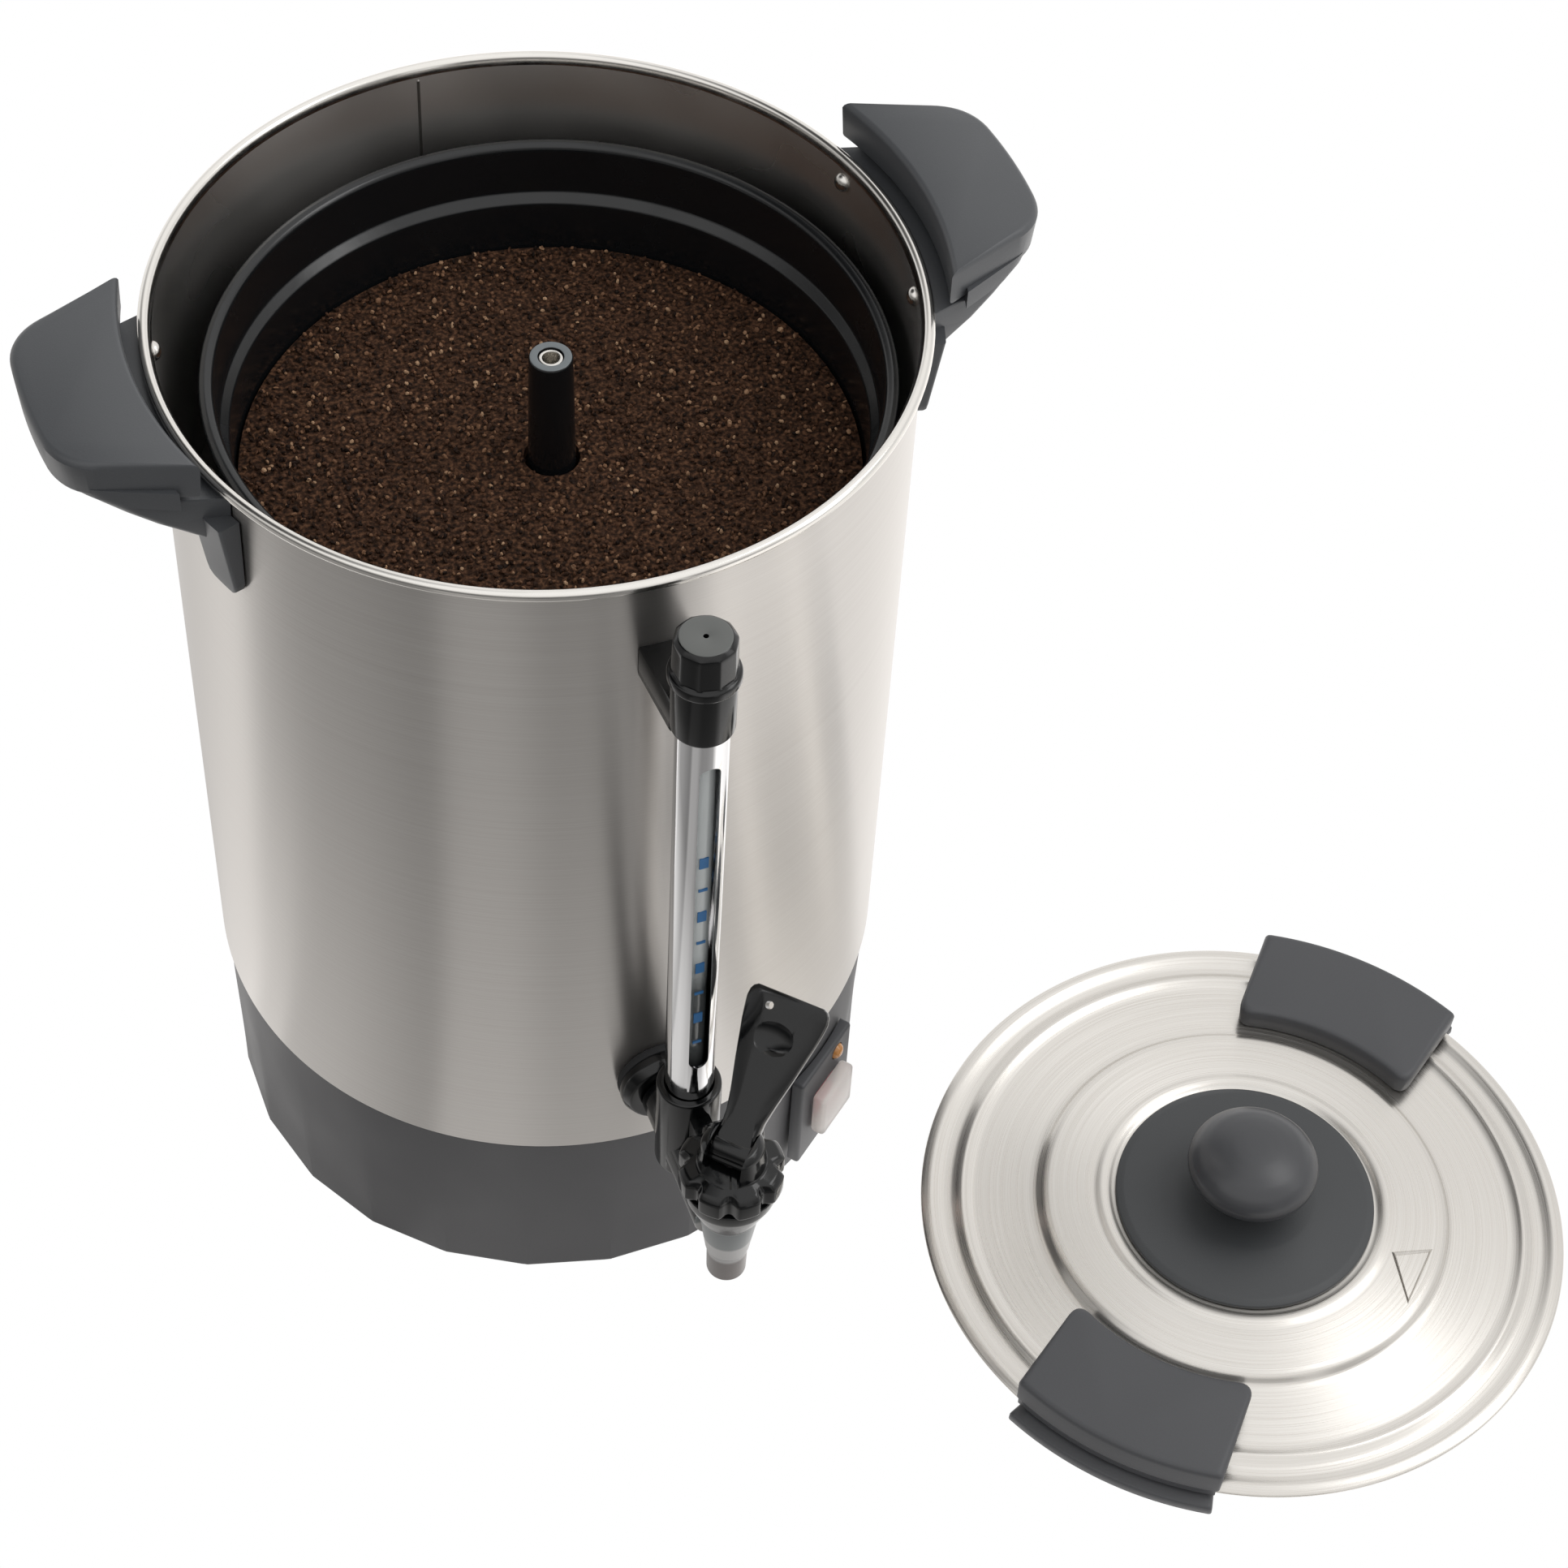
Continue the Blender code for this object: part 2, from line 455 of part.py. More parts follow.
# ---------------------------------------------------------------- faucet
def faucet():
    """Moulded faucet: threaded shank, gauge socket and barrel in one body, with its working pieces."""
    back = (math.radians(90), 0, 0)
    zero = (0, 0, 0)
    shank = [(0, 59), (9.0, 59), (9.0, 10.2), (7.7, 9.4), (7.7, -9.5), (0, -9.5)]
    body = turned("faucet_body", shank, BLACK, MEDIUM, (0, -WALL_R, SHANK_Z), back)
    socket = turned("cut_socket", disc_profile(10.2, 104.4, 143.6, 0.6), None, MEDIUM, (0, GAUGE_Y, 0),
                    collection=CUTTERS)
    barrel = turned("cut_barrel", [(0, 142), (15.0, 142), (14.4, 137), (9.9, 125.2), (9.5, 124.2), (6.9, 105.4),
                                   (0, 105.4)], None, 24, (0, FAUCET_Y, 0), collection=CUTTERS)
    join(body, socket)
    join(body, barrel)
    cut(body, turned("cut_socket_bore", [(0, 150), (7.95, 150), (7.95, 133), (3.0, 132.6), (3.0, 112), (0, 112)],
                     None, MEDIUM, (0, GAUGE_Y, 0), collection=CUTTERS))
    cut(body, turned("cut_shank_bore", disc_profile(4.2, -20, 60.6), None, 12, (0, -WALL_R, SHANK_Z), back,
                     collection=CUTTERS))
    cut(body, turned("cut_barrel_bore", [(0, 150), (11.8, 150), (11.8, 136.6), (5.6, 121), (5.6, 100), (0, 100)],
                     None, MEDIUM, (0, FAUCET_Y, 0), collection=CUTTERS))
    cut(body, turned("cut_nozzle_room", disc_profile(7.6, 95, 105.35), None, MEDIUM, (0, FAUCET_Y, 0),
                     collection=CUTTERS))
    turned("shank_washer_outer", ring_profile(8.0, 14.2, 0.6, 3.4), RUBBER, MEDIUM, (0, -WALL_R, SHANK_Z), back,
           ring=True)
    turned("shank_flange", [(12.6, 9.6), (14.4, 6.6), (14.4, 3.7), (8.0, 3.7), (8.0, 9.6)], BLACK, MEDIUM,
           (0, -WALL_R, SHANK_Z), back, ring=True)
    turned("shank_washer_inner", ring_profile(8.0, 13, -4.4, -2.2), RUBBER, MEDIUM, (0, -WALL_R, SHANK_Z), back,
           ring=True)
    nut = turned("shank_nut", disc_profile(12.4, -9.2, -4.7), BRASS, 6, (0, -WALL_R, SHANK_Z), back)
    cut(nut, turned("cut_nut_bore", disc_profile(8.1, -20, 20), None, MEDIUM, (0, -WALL_R, SHANK_Z), back,
                    collection=CUTTERS))

    at = (0, FAUCET_Y, 0)
    nozzle = [(5.2, 110.2), (5.2, 105.0), (6.4, 105.0), (6.2, 93.0), (4.2, 93.0), (4.2, 110.2)]
    turned("faucet_nozzle", nozzle, SMOKE, MEDIUM, at, ring=True)

    bonnet = turned("faucet_bonnet", [(0, 162.4), (7.8, 162.4), (9.6, 160.6), (10.6, 152.4), (16.4, 150.6),
                                      (16.4, 143.4), (15.4, 142.3), (11.4, 142.3), (11.4, 137.2), (0, 137.2)],
                    BLACK, 32, at)
    for i in range(8):
        spot = polar(18.4 * MM, math.radians(22 + 45 * i)) + Vector(at)
        cut(bonnet, turned("cut_lobe_%d" % i, disc_profile(3.2, 140, 155), None, 8, spot, collection=CUTTERS))
    cut(bonnet, turned("cut_bonnet_bore", [(0, 170), (3.2, 170), (3.2, 147), (8.6, 145.5), (8.6, 130), (0, 130)],
                       None, MEDIUM, at, collection=CUTTERS))
    lean = polar(1, LEVER_TURN)
    for label, size, offset, height in (("slot", (40, 12.6, 16), 0, 160.3), ("mouth", (16, 12.4, 24), -15, 158.6)):
        cut(bonnet, block("cut_bonnet_" + label, size, None, Vector((0, FAUCET_Y, height * MM)) + lean * offset * MM,
                          LEVER_TURN, collection=CUTTERS))
    pin_axis = Vector((-lean.y, lean.x, 0))
    pin_at = Vector((0, FAUCET_Y, LEVER_PIN_Z))
    pin_hole = turned("cut_pin_hole", disc_profile(1.6, -20, 20), None, SMALL, pin_at, along(pin_axis),
                      collection=CUTTERS)
    cut(bonnet, pin_hole)
    turned("lever_pin", disc_profile(1.3, -9.0, 9.0, 0.3), STEEL, SMALL, pin_at, along(pin_axis))
    lever(pin_at, lean, pin_hole)

    turned("faucet_stem", [(0, 149.6), (2.4, 149.6), (2.4, 126.6), (5.0, 126.4), (5.0, 125.4), (2.0, 125.0),
                           (2.0, 115.4), (0, 115.4)], CHARCOAL, SMALL, at)
    turned("stem_spring", ring_profile(3.6, 6.4, 127.2, 144.4), STEEL, SMALL, at, ring=True)
    turned("seat_cup", [(0, 115.2), (4.4, 115.2), (5.0, 110.6), (0, 110.6)], RUBBER, SMALL, at)


def lever(pin_at, lean, pin_hole):
    """Paddle lever: rounded blade with a thumb dish, side flanges at its back and a hub on the pin."""
    frame = Matrix.Translation(pin_at) @ Matrix.Rotation(LEVER_TURN, 4, "Z") @ Matrix.Rotation(LEVER_LEAN, 4, "Y")
    levels = []
    for height, width, thick in ((10, 12.0, 6.4), (17, 14.6, 6.2), (27, 19.6, 5.6), (38, 24.4, 5.2), (45.6, 26.6, 5.0),
                                 (48.8, 24.6, 4.6), (50, 20, 3.6)):
        half, deep = width / 2 * MM, thick / 2 * MM
        edge = 1.2 * MM
        outline = [(-deep + edge, -half), (deep - edge, -half), (deep, -half + edge), (deep, half - edge),
                   (deep - edge, half), (-deep + edge, half), (-deep, half - edge), (-deep, -half + edge)]
        levels.append((height * MM, outline))
    blade = loft("faucet_lever", levels, BLACK)
    hub = turned("cut_hub", disc_profile(4.0, -6.0, 6.0, 0.5), None, SMALL, (0, 0, 0),
                 (math.radians(90), 0, 0), collection=CUTTERS)
    arm = block("cut_arm", (6.0, 12.0, 15), None, (0, 0, 4.5 * MM), bevel=0.8, collection=CUTTERS)
    hollow = block("cut_back_hollow", (6, 12, 23), None, (4.6 * MM, 0, 32.5 * MM), bevel=2, collection=CUTTERS)
    dish = block("cut_dish", (3.4, 17, 12.5), None, (-3.6 * MM, 0, 36 * MM), bevel=1.2, collection=CUTTERS)
    hole = turned("cut_lever_hole", disc_profile(1.3, -6, 6), None, SMALL, (0, 5 * MM, 45 * MM),
                  (0, math.radians(90), 0), collection=CUTTERS)
    for piece in (blade, hub, arm, hollow, dish, hole):
        piece.matrix_world = frame @ piece.matrix_basis
    join(blade, arm)
    join(blade, hub)
    for piece in (hollow, dish, hole, pin_hole):
        cut(blade, piece)


# ---------------------------------------------------------------- pump and basket
def pump():
    """Percolator pump: bell foot, riser tube with the ledge the basket stands on, and valve disc."""
    at = BASKET_OFFSET
    bell = [(6.2, 242.2), (8.6, 242.2), (8.6, 240.6), (3.6, 238), (3.6, 91.5), (15, 84.4)]
    bell += [(21.6, 71.9), (20.6, 71.9), (14.4, 83.2), (2.6, 90.6), (2.6, 325.4), (3.6, 325.4), (3.6, 242.2)]
    turned("pump_tube", bell, STEEL, MEDIUM, at, ring=True)
    turned("pump_valve", ring_profile(1.2, 5.8, 80.4, 81.4), STEEL, SMALL, at, ring=True)


def basket():
    """Grounds basket with its centre sleeve, filled with ground coffee."""
    at = BASKET_OFFSET
    bowl = [(98.8, 320.8), (101.2, 322), (103.2, 319.8), (102.4, 318), (99.6, 317.6), (99.4, 303.2), (96.3, 300.6)]
    bowl += [(95.7, 247), (93, 244.4), (8.4, 244.4), (8.4, 245.4), (92.6, 245.4), (94.7, 247.6), (95.3, 301.2)]
    bowl += [(98.4, 303.8)]
    turned("basket", bowl, DARK, 40, at, ring=True)
    sleeve = [(3.9, 326), (6.2, 326), (6.6, 325.6), (7.9, 246), (8.1, 244.2), (11.5, 244.1), (11.5, 242.6)]
    sleeve += [(3.9, 242.6)]
    turned("basket_sleeve", sleeve, BLACK, MEDIUM, at, ring=True)
    coffee = [(94.2, 284.4), (94.0, 248.4), (91.8, 245.8), (8.8, 245.8), (8.6, 285)]
    turned("coffee_grounds", coffee, COFFEE, ROUND, at, ring=True)


# ---------------------------------------------------------------- lid
def lid():
    """Steel lid lying on the floor: pressed pan, tabs that clamp its edge, heat disc and knob."""
    at = LID_CENTRE
    top = [(0, 12.6), (47, 12.6), (49.6, 14), (53, 13.2), (69.6, 12.2), (72.6, 9.2), (94.6, 7.4), (98.2, 8.6)]
    top += [(101.6, 6.6), (104.6, 6.4), (108.4, 7.6), (112.8, 6.2)]
    under = [(108.2, 6.4), (104.4, 5.2), (101.2, 5.3), (98.2, 7.0), (94.8, 6.0), (71.6, 7.8), (68.8, 10.9)]
    under += [(49.6, 12.6), (47, 11.2), (0, 11.2)]
    pan = turned("lid_pan", top + under, STEEL, 40, at)
    cut(pan, turned("cut_knob_hole", disc_profile(2.4, 0, 30), None, SMALL, at, collection=CUTTERS))
    deg = math.radians
    for label, turn in (("a", LID_TURN), ("b", LID_TURN + math.pi)):
        upper = loft("lid_tab_%s_top" % label, [
            (9.0 * MM, rounded_tab(76.6, 114.4, deg(25.0), deg(18.9))),
            (16.0 * MM, rounded_tab(76.4, 114.0, deg(25.4), deg(19.1))),
            (17.6 * MM, rounded_tab(76.8, 113.4, deg(25.2), deg(19.0))),
            (18.4 * MM, rounded_tab(77.6, 112.6, deg(24.8), deg(18.6))),
        ], CHARCOAL)
        skirt = loft("cut_tab_skirt", [
            (6.6 * MM, rounded_tab(113.3, 114.2, deg(18.4), deg(18.4), 0.3)),
            (10.0 * MM, rounded_tab(113.3, 114.35, deg(18.4), deg(18.4), 0.3)),
        ], None, CUTTERS)
        join(upper, skirt)
        lower = loft("lid_tab_%s_clip" % label, [
            (0.0, rounded_tab(99.0, 117.4, deg(17.6), deg(17.6), 3)),
            (1.4 * MM, rounded_tab(98.4, 118.4, deg(18.4), deg(18.4), 3)),
            (4.6 * MM, rounded_tab(98.8, 117.4, deg(18.0), deg(18.0), 3)),
        ], CHARCOAL)
        for piece in (upper, skirt, lower):
            piece.location = at
            piece.rotation_euler = (0, 0, turn)
    disc = [(0, 17.4), (24, 17.0), (43, 15.2), (45.2, 14.2), (45.0, 12.9), (0, 12.9)]
    plate = turned("lid_disc", disc, CHARCOAL, ROUND, at)
    cut(plate, turned("cut_disc_hole", disc_profile(2.4, 0, 30), None, SMALL, at, collection=CUTTERS))
    knob = [(0, 43.0), (10, 42.2), (17.6, 38.8), (21.6, 33.4), (20.8, 29.4), (13.4, 25.2), (10.4, 22), (11.4, 17.75)]
    knob += [(0, 17.75)]
    grip = turned("lid_knob", knob, CHARCOAL, MEDIUM, at)
    cut(grip, turned("cut_knob_thread", disc_profile(2.0, 10, 30), None, SMALL, at, collection=CUTTERS))
    turned("knob_screw", [(0, 29), (1.6, 29), (1.6, 10.8), (4.2, 10.8), (4.2, 9.6), (3.0, 8.6), (0, 8.4)], STEEL,
           SMALL, at)


def rounded_tab(r_in, r_out, half_in, half_out, corner=6.5):
    """Outline in metres: hollow inner edge with two rounded corners, straight sides, outer arc."""
    tip = polar(r_in, half_in).xy
    start = tip + (polar(r_out, half_out).xy - tip).normalized() * corner
    inner = half_in - corner / r_in
    end = polar(r_in, inner).xy
    points = [start.lerp(tip, i / 3).lerp(tip.lerp(end, i / 3), i / 3) for i in range(4)]
    points += [polar(r_in, inner * (1 - i / 3)).xy for i in range(1, 3)]
    mirrored = [Vector((p.x, -p.y)) for p in reversed(points)]
    points += [polar(r_in, 0).xy] + mirrored
    points += [polar(r_out, -half_out + half_out * i / 4).xy for i in range(9)]
    return [(p.x * MM, p.y * MM) for p in points]


tank()
base_ring()
base_plate()
cord_gland()
electrics()
switch()
handle("handle_right", HANDLE_TURN)
handle("handle_left", HANDLE_TURN + math.pi)
rivets()
gauge()
faucet()
pump()
basket()
lid()
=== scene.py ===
"""Electric coffee percolator: brushed steel urn, open, with its lid lying beside it.

Metres, +Z up, the CAD model's frame. Sizes inside the sections are in millimetres.
"""

import json
import math

import bmesh
import bpy
from mathutils import Matrix, Vector


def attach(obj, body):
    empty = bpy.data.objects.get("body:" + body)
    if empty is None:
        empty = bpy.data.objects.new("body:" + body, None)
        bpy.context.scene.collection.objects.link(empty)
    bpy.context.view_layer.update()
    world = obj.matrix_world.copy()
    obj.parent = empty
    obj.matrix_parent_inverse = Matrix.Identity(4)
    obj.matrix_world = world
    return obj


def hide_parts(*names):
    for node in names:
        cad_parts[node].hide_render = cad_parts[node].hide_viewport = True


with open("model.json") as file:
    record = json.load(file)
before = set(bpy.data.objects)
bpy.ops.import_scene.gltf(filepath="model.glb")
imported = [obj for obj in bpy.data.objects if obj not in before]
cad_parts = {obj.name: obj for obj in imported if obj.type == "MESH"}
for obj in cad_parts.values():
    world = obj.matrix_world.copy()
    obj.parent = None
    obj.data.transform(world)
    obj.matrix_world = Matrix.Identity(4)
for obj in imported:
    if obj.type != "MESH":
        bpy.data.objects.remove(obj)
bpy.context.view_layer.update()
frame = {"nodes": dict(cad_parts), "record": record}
shop = bpy.context.scene.collection


# ------------ surface, light and camera
# A white table top, plain white to the camera. It glows with painted light and shade that only reflections see:
# brighter at the right and behind than in front, which is what gives a brushed steel cylinder its upright light
# and dark bands.
def linear(colour):
    """sRGB hex to linear RGBA."""
    channels = [int(colour[i:i + 2], 16) / 255 for i in (1, 3, 5)]
    return [c / 12.92 if c <= 0.04045 else ((c + 0.055) / 1.055) ** 2.4 for c in channels] + [1.0]


def add(tree, kind, settings=None, links=None):
    """Add one node, set its properties and sockets by name, and feed sockets from other outputs."""
    node = tree.nodes.new(kind)
    for key, value in (settings or {}).items():
        if isinstance(key, str) and hasattr(node, key):
            setattr(node, key, value)
        else:
            node.inputs[key].default_value = value
    for key, output in (links or {}).items():
        tree.links.new(node.inputs[key], output)
    return node


def ramp(tree, source, stops):
    """Colour ramp through (position, sRGB hex) stops."""
    node = add(tree, "ShaderNodeValToRGB", links={"Fac": source})
    for i, (position, colour) in enumerate(stops):
        point = node.color_ramp.elements[i] if i < 2 else node.color_ramp.elements.new(position)
        point.position = position
        point.color = linear(colour)
    return node.outputs["Color"]


def calc(tree, operation, *values, kind="Math"):
    """One Math or VectorMath node on sockets or plain values, in the order given."""
    node = add(tree, "ShaderNode" + kind, {"operation": operation})
    for socket, value in zip([socket for socket in node.inputs if socket.enabled], values):
        if isinstance(value, bpy.types.NodeSocket):
            tree.links.new(socket, value)
        else:
            socket.default_value = value
    return next(socket for socket in node.outputs if socket.enabled)


def mapped(tree, value, low, high, start=0.0, end=1.0):
    """Map a value from low and high onto start and end, held outside them."""
    return add(tree, "ShaderNodeMapRange", {"From Min": low, "From Max": high, "To Min": start, "To Max": end},
               {"Value": value}).outputs["Result"]


world = bpy.data.worlds.new("studio")
bpy.context.scene.world = world
world.use_nodes = True
air = world.node_tree
air.nodes.clear()
sky_at = add(air, "ShaderNodeTexCoord").outputs["Generated"]
sky_xyz = add(air, "ShaderNodeSeparateXYZ", links={"Vector": sky_at})
sky_seen = ramp(air, sky_xyz.outputs["Z"], [(0.0, "#9a9896"), (0.3, "#c9c7c5"), (0.6, "#f7f6f5"),
    (1.0, "#ffffff")])


def around(tree, x, y, stops):
    """Grey level by bearing: stops are (degrees from +X, level), levels from 0 to 1."""
    share = calc(tree, "MULTIPLY_ADD", calc(tree, "ARCTAN2", y, x), 1 / (2 * math.pi), 0.5)
    node = add(tree, "ShaderNodeValToRGB", links={"Fac": share})
    for i, (degrees, level) in enumerate(stops):
        point = node.color_ramp.elements[i] if i < 2 else node.color_ramp.elements.new(1)
        point.position = degrees / 360 + 0.5
        point.color = (level, level, level, 1)
    return node.outputs["Color"]


low_sky = around(air, sky_xyz.outputs["X"], sky_xyz.outputs["Y"], [(-180, 0.12), (-110, 0.12), (-86, 0.15),
    (-83, 0.75), (-73, 0.75), (-70, 0.2), (-40, 0.7), (20, 0.9), (60, 1.0), (120, 0.9), (150, 0.5),
    (180, 0.12)])
by_height = add(air, "ShaderNodeMix", {"data_type": "RGBA"},
                {0: mapped(air, sky_xyz.outputs["Z"], 0.15, 0.6), 6: low_sky, 7: sky_seen})
flag_way = Vector((-0.42, 0.52, 0.74)).normalized()
flag = mapped(air, calc(air, "DOT_PRODUCT", sky_at, flag_way, kind="VectorMath"), 0.82, 0.96, 1.2, 0.05)
sky = add(air, "ShaderNodeBackground", {}, {"Color": by_height.outputs[2], "Strength": flag})
backdrop = add(air, "ShaderNodeBackground", {"Color": (1, 1, 1, 1), "Strength": 1.0})
eye = add(air, "ShaderNodeLightPath")
seen = add(air, "ShaderNodeMixShader", {}, {0: eye.outputs["Is Camera Ray"], 1: sky.outputs[0],
                                            2: backdrop.outputs[0]})
add(air, "ShaderNodeOutputWorld", {}, {"Surface": seen.outputs[0]})

table_mesh = bpy.data.meshes.new("table_top")
table_mesh.from_pydata([(-5, -5, -0.0004), (5, -5, -0.0004), (5, 5, -0.0004), (-5, 5, -0.0004)], [],
    [(0, 1, 2, 3)])
table_top = bpy.data.objects.new("table_top", table_mesh)
shop.objects.link(table_top)
# The table glows rather than being lit: camera rays see plain white, and every other ray sees a painted pattern
# of light and shade.
white = bpy.data.materials.new("table_painted_reflection_glow")
white.use_nodes = True
tree = white.node_tree
tree.nodes.clear()
spot = add(tree, "ShaderNodeTexCoord").outputs["Object"]
# Painted glow of the table round the urn, seen only by reflected rays: bright at both sides and behind, painted
# dark in front and darker still farther out, with one lighter strip.
table_xyz = add(tree, "ShaderNodeSeparateXYZ", links={"Vector": spot}).outputs
broad = around(tree, table_xyz["X"], table_xyz["Y"], [(-180, 0.45), (-162, 0.39), (-140, 0.26), (-120, 0.29),
    (-90, 0.33), (-76, 0.43), (-62, 0.92), (-37, 0.82), (-20, 0.74), (2, 0.86), (30, 0.93), (69, 0.93),
    (134, 0.55), (150, 0.74), (166, 0.86), (170, 0.58)])
strip = around(tree, table_xyz["X"], table_xyz["Y"], [(-180, 0), (-137, 0), (-133, 0.13), (-118, 0.10),
    (-106, 0)])
facing = around(tree, table_xyz["X"], table_xyz["Y"], [(-180, 1), (-76, 1), (-62, 0), (164, 0), (170, 1)])
distance = calc(tree, "LENGTH", spot, kind="VectorMath")
falling = mapped(tree, distance, 0.188, 0.355, 1.32, 0.57)
fall = add(tree, "ShaderNodeMix", {"data_type": "FLOAT", 2: 1.0}, {0: facing, 3: falling}).outputs[0]
painted_glow_level = calc(tree, "ADD", calc(tree, "MULTIPLY", broad, fall), strip)
# Painted light: the glow strength is the painted light-and-shade pattern above.
glow = add(tree, "ShaderNodeEmission", {"Color": linear("#fffdfb")}, {"Strength": calc(tree, "MULTIPLY",
    painted_glow_level, 1.5)})
plain = add(tree, "ShaderNodeEmission", {"Color": (1, 1, 1, 1), "Strength": 1.0})
path = add(tree, "ShaderNodeLightPath")
mix = add(tree, "ShaderNodeMixShader", {}, {0: path.outputs["Is Camera Ray"], 1: glow.outputs[0],
    2: plain.outputs[0]})
add(tree, "ShaderNodeOutputMaterial", {}, {"Surface": mix.outputs[0]})
table_mesh.materials.append(white)


def softbox(name, place, aim, width, height, power):
    lamp = bpy.data.lights.new(name, "AREA")
    lamp.shape = "RECTANGLE"
    lamp.size = width
    lamp.size_y = height
    lamp.energy = power
    lamp_object = bpy.data.objects.new(name, lamp)
    lamp_object.location = place
    lamp_object.rotation_mode = "QUATERNION"
    lamp_object.rotation_quaternion = (Vector(aim) - Vector(place)).to_track_quat("-Z", "Y")
    lamp_object.visible_camera = False
    shop.objects.link(lamp_object)


softbox("top_softbox", (0.95, -0.3, 1.4), (0.1, 0, 0.2), 0.6, 0.6, 3.2)
softbox("right_softbox", (1.5, -0.9, 1.2), (0.1, -0.1, 0.1), 0.5, 0.8, 1.5)

camera = bpy.data.objects.new("camera", bpy.data.cameras.new("camera"))
shop.objects.link(camera)
camera.data.sensor_width = 36
camera.data.lens = 81.27
camera.data.clip_start = 0.05
right_way = (0.93234, -0.35910, 0.04237)
up_way = (0.25186, 0.72901, 0.63649)
view_way = (0.25946, 0.58275, -0.77012)
camera.matrix_world = Matrix.Translation((-0.2344, -0.7231, 1.0494)) @ Matrix(
    [(right_way[i], up_way[i], -view_way[i], 0) for i in range(3)] + [(0, 0, 0, 1)])
bpy.context.scene.camera = camera
bpy.context.scene.view_settings.view_transform = "Standard"


# ------------ tank
# Rolled from 1 mm 304 stainless sheet, belt brushed round its wall, its rim curled over and
# left bright. One upright weld runs down the inside at the back.
deg = math.radians


def rounded(profile, radius=0.5, points=3, closed=False):
    """Give each corner of a (radius, height) profile a small arc."""
    result = []
    count = len(profile)
    for i, corner in enumerate(profile):
        if not closed and i in (0, count - 1):
            result.append(corner)
            continue
        here = Vector(corner)
        back = Vector(profile[i - 1]) - here
        ahead = Vector(profile[(i + 1) % count]) - here
        reach = min(radius, back.length * 0.45, ahead.length * 0.45)
        start = here + back.normalized() * reach
        end = here + ahead.normalized() * reach
        for k in range(points + 1):
            t = k / points
            result.append(tuple(start.lerp(here, t).lerp(here.lerp(end, t), t)))
    return result


def linked(name, mesh_data, at=(0, 0, 0), turn=Matrix()):
    """Turn and place a mesh in mm, merge it, face it outwards; its object sits at the origin."""
    place = Matrix.Translation(Vector(at) / 1000) @ turn
    bmesh.ops.transform(mesh_data, matrix=place, verts=mesh_data.verts)
    bmesh.ops.remove_doubles(mesh_data, verts=mesh_data.verts, dist=1e-7)
    bmesh.ops.recalc_face_normals(mesh_data, faces=mesh_data.faces)
    mesh = bpy.data.meshes.new(name)
    mesh_data.to_mesh(mesh)
    mesh_data.free()
    piece = bpy.data.objects.new(name, mesh)
    shop.objects.link(piece)
    return piece


def turned(name, profile, steps=128, at=(0, 0, 0), turn=Matrix(), ring=False, form=None):
    """Turn a profile in mm about Z. A ring's profile is closed; any other runs from axis to axis.
    `form` may change the radius: form(angle, radius, height)."""
    data = bmesh.new()
    rows = []
    for r, z in profile:
        if r < 1e-6:
            rows.append([data.verts.new((0, 0, z / 1000))])
            continue
        row = []
        for i in range(steps):
            angle = 2 * math.pi * i / steps
            wide = (form(angle, r, z) if form else r) / 1000
            row.append(data.verts.new((wide * math.cos(angle), wide * math.sin(angle), z / 1000)))
        rows.append(row)
    pairs = list(zip(rows, rows[1:]))
    if ring:
        pairs.append((rows[-1], rows[0]))
    for a, b in pairs:
        for i in range(steps):
            j = (i + 1) % steps
            if len(a) == 1:
                data.faces.new((a[0], b[j], b[i]))
            elif len(b) == 1:
                data.faces.new((a[i], a[j], b[0]))
            else:
                data.faces.new((a[i], a[j], b[j], b[i]))
    return linked(name, data, at, turn)


def hoop(name, profile, radius, points, steps, at=(0, 0, 0), turn=Matrix(), form=None):
    """A ring turned from a closed profile whose corners are rounded."""
    return turned(name, rounded(profile, radius, points, True), steps, at, turn, True, form)


def drill(radius, high, low, steps=48, at=(0, 0, 0), turn=Matrix()):
    """A plain round bar to cut a bore with."""
    return turned("drill", [(0, high), (radius, high), (radius, low), (0, low)], steps, at, turn)


def finished(piece, surface, body, nodes, crease=32):
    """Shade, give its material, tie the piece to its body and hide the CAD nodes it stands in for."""
    piece.data.shade_smooth()
    piece.data.set_sharp_from_angle(angle=deg(crease))
    piece.data.materials.clear()
    piece.data.materials.append(surface)
    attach(piece, body)
    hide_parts(*nodes)
    return piece


def coated(piece, material, chosen):
    """Give the faces that a test picks another material."""
    piece.data.materials.append(material)
    for face in piece.data.polygons:
        if chosen(face):
            face.material_index = len(piece.data.materials) - 1


def surface(name, colour, roughness, metallic=0.0, **sockets):
    """A Principled material with its colour, roughness and any other socket by name."""
    made = bpy.data.materials.new(name)
    made.use_nodes = True
    shader = made.node_tree.nodes["Principled BSDF"]
    shader.inputs["Base Color"].default_value = linear(colour)
    shader.inputs["Roughness"].default_value = roughness
    shader.inputs["Metallic"].default_value = metallic
    for key, value in sockets.items():
        shader.inputs[key.replace("_", " ")].default_value = value
    return made, made.node_tree, shader


def pattern(tree, scale, detail=3.0, stretch=(1, 1, 1)):
    """Noise on Object coordinates: scale in features per metre, stretched along the axes."""
    at = add(tree, "ShaderNodeTexCoord").outputs["Object"]
    spread = add(tree, "ShaderNodeMapping", {"Scale": stretch}, {"Vector": at})
    return add(tree, "ShaderNodeTexNoise", {"Scale": scale, "Detail": detail},
               {"Vector": spread.outputs["Vector"]}).outputs["Fac"]


def vary(tree, shader, socket, source, low, high):
    """Let a pattern move a shader value between two limits."""
    tree.links.new(shader.inputs[socket], mapped(tree, source, 0.3, 0.7, low, high))


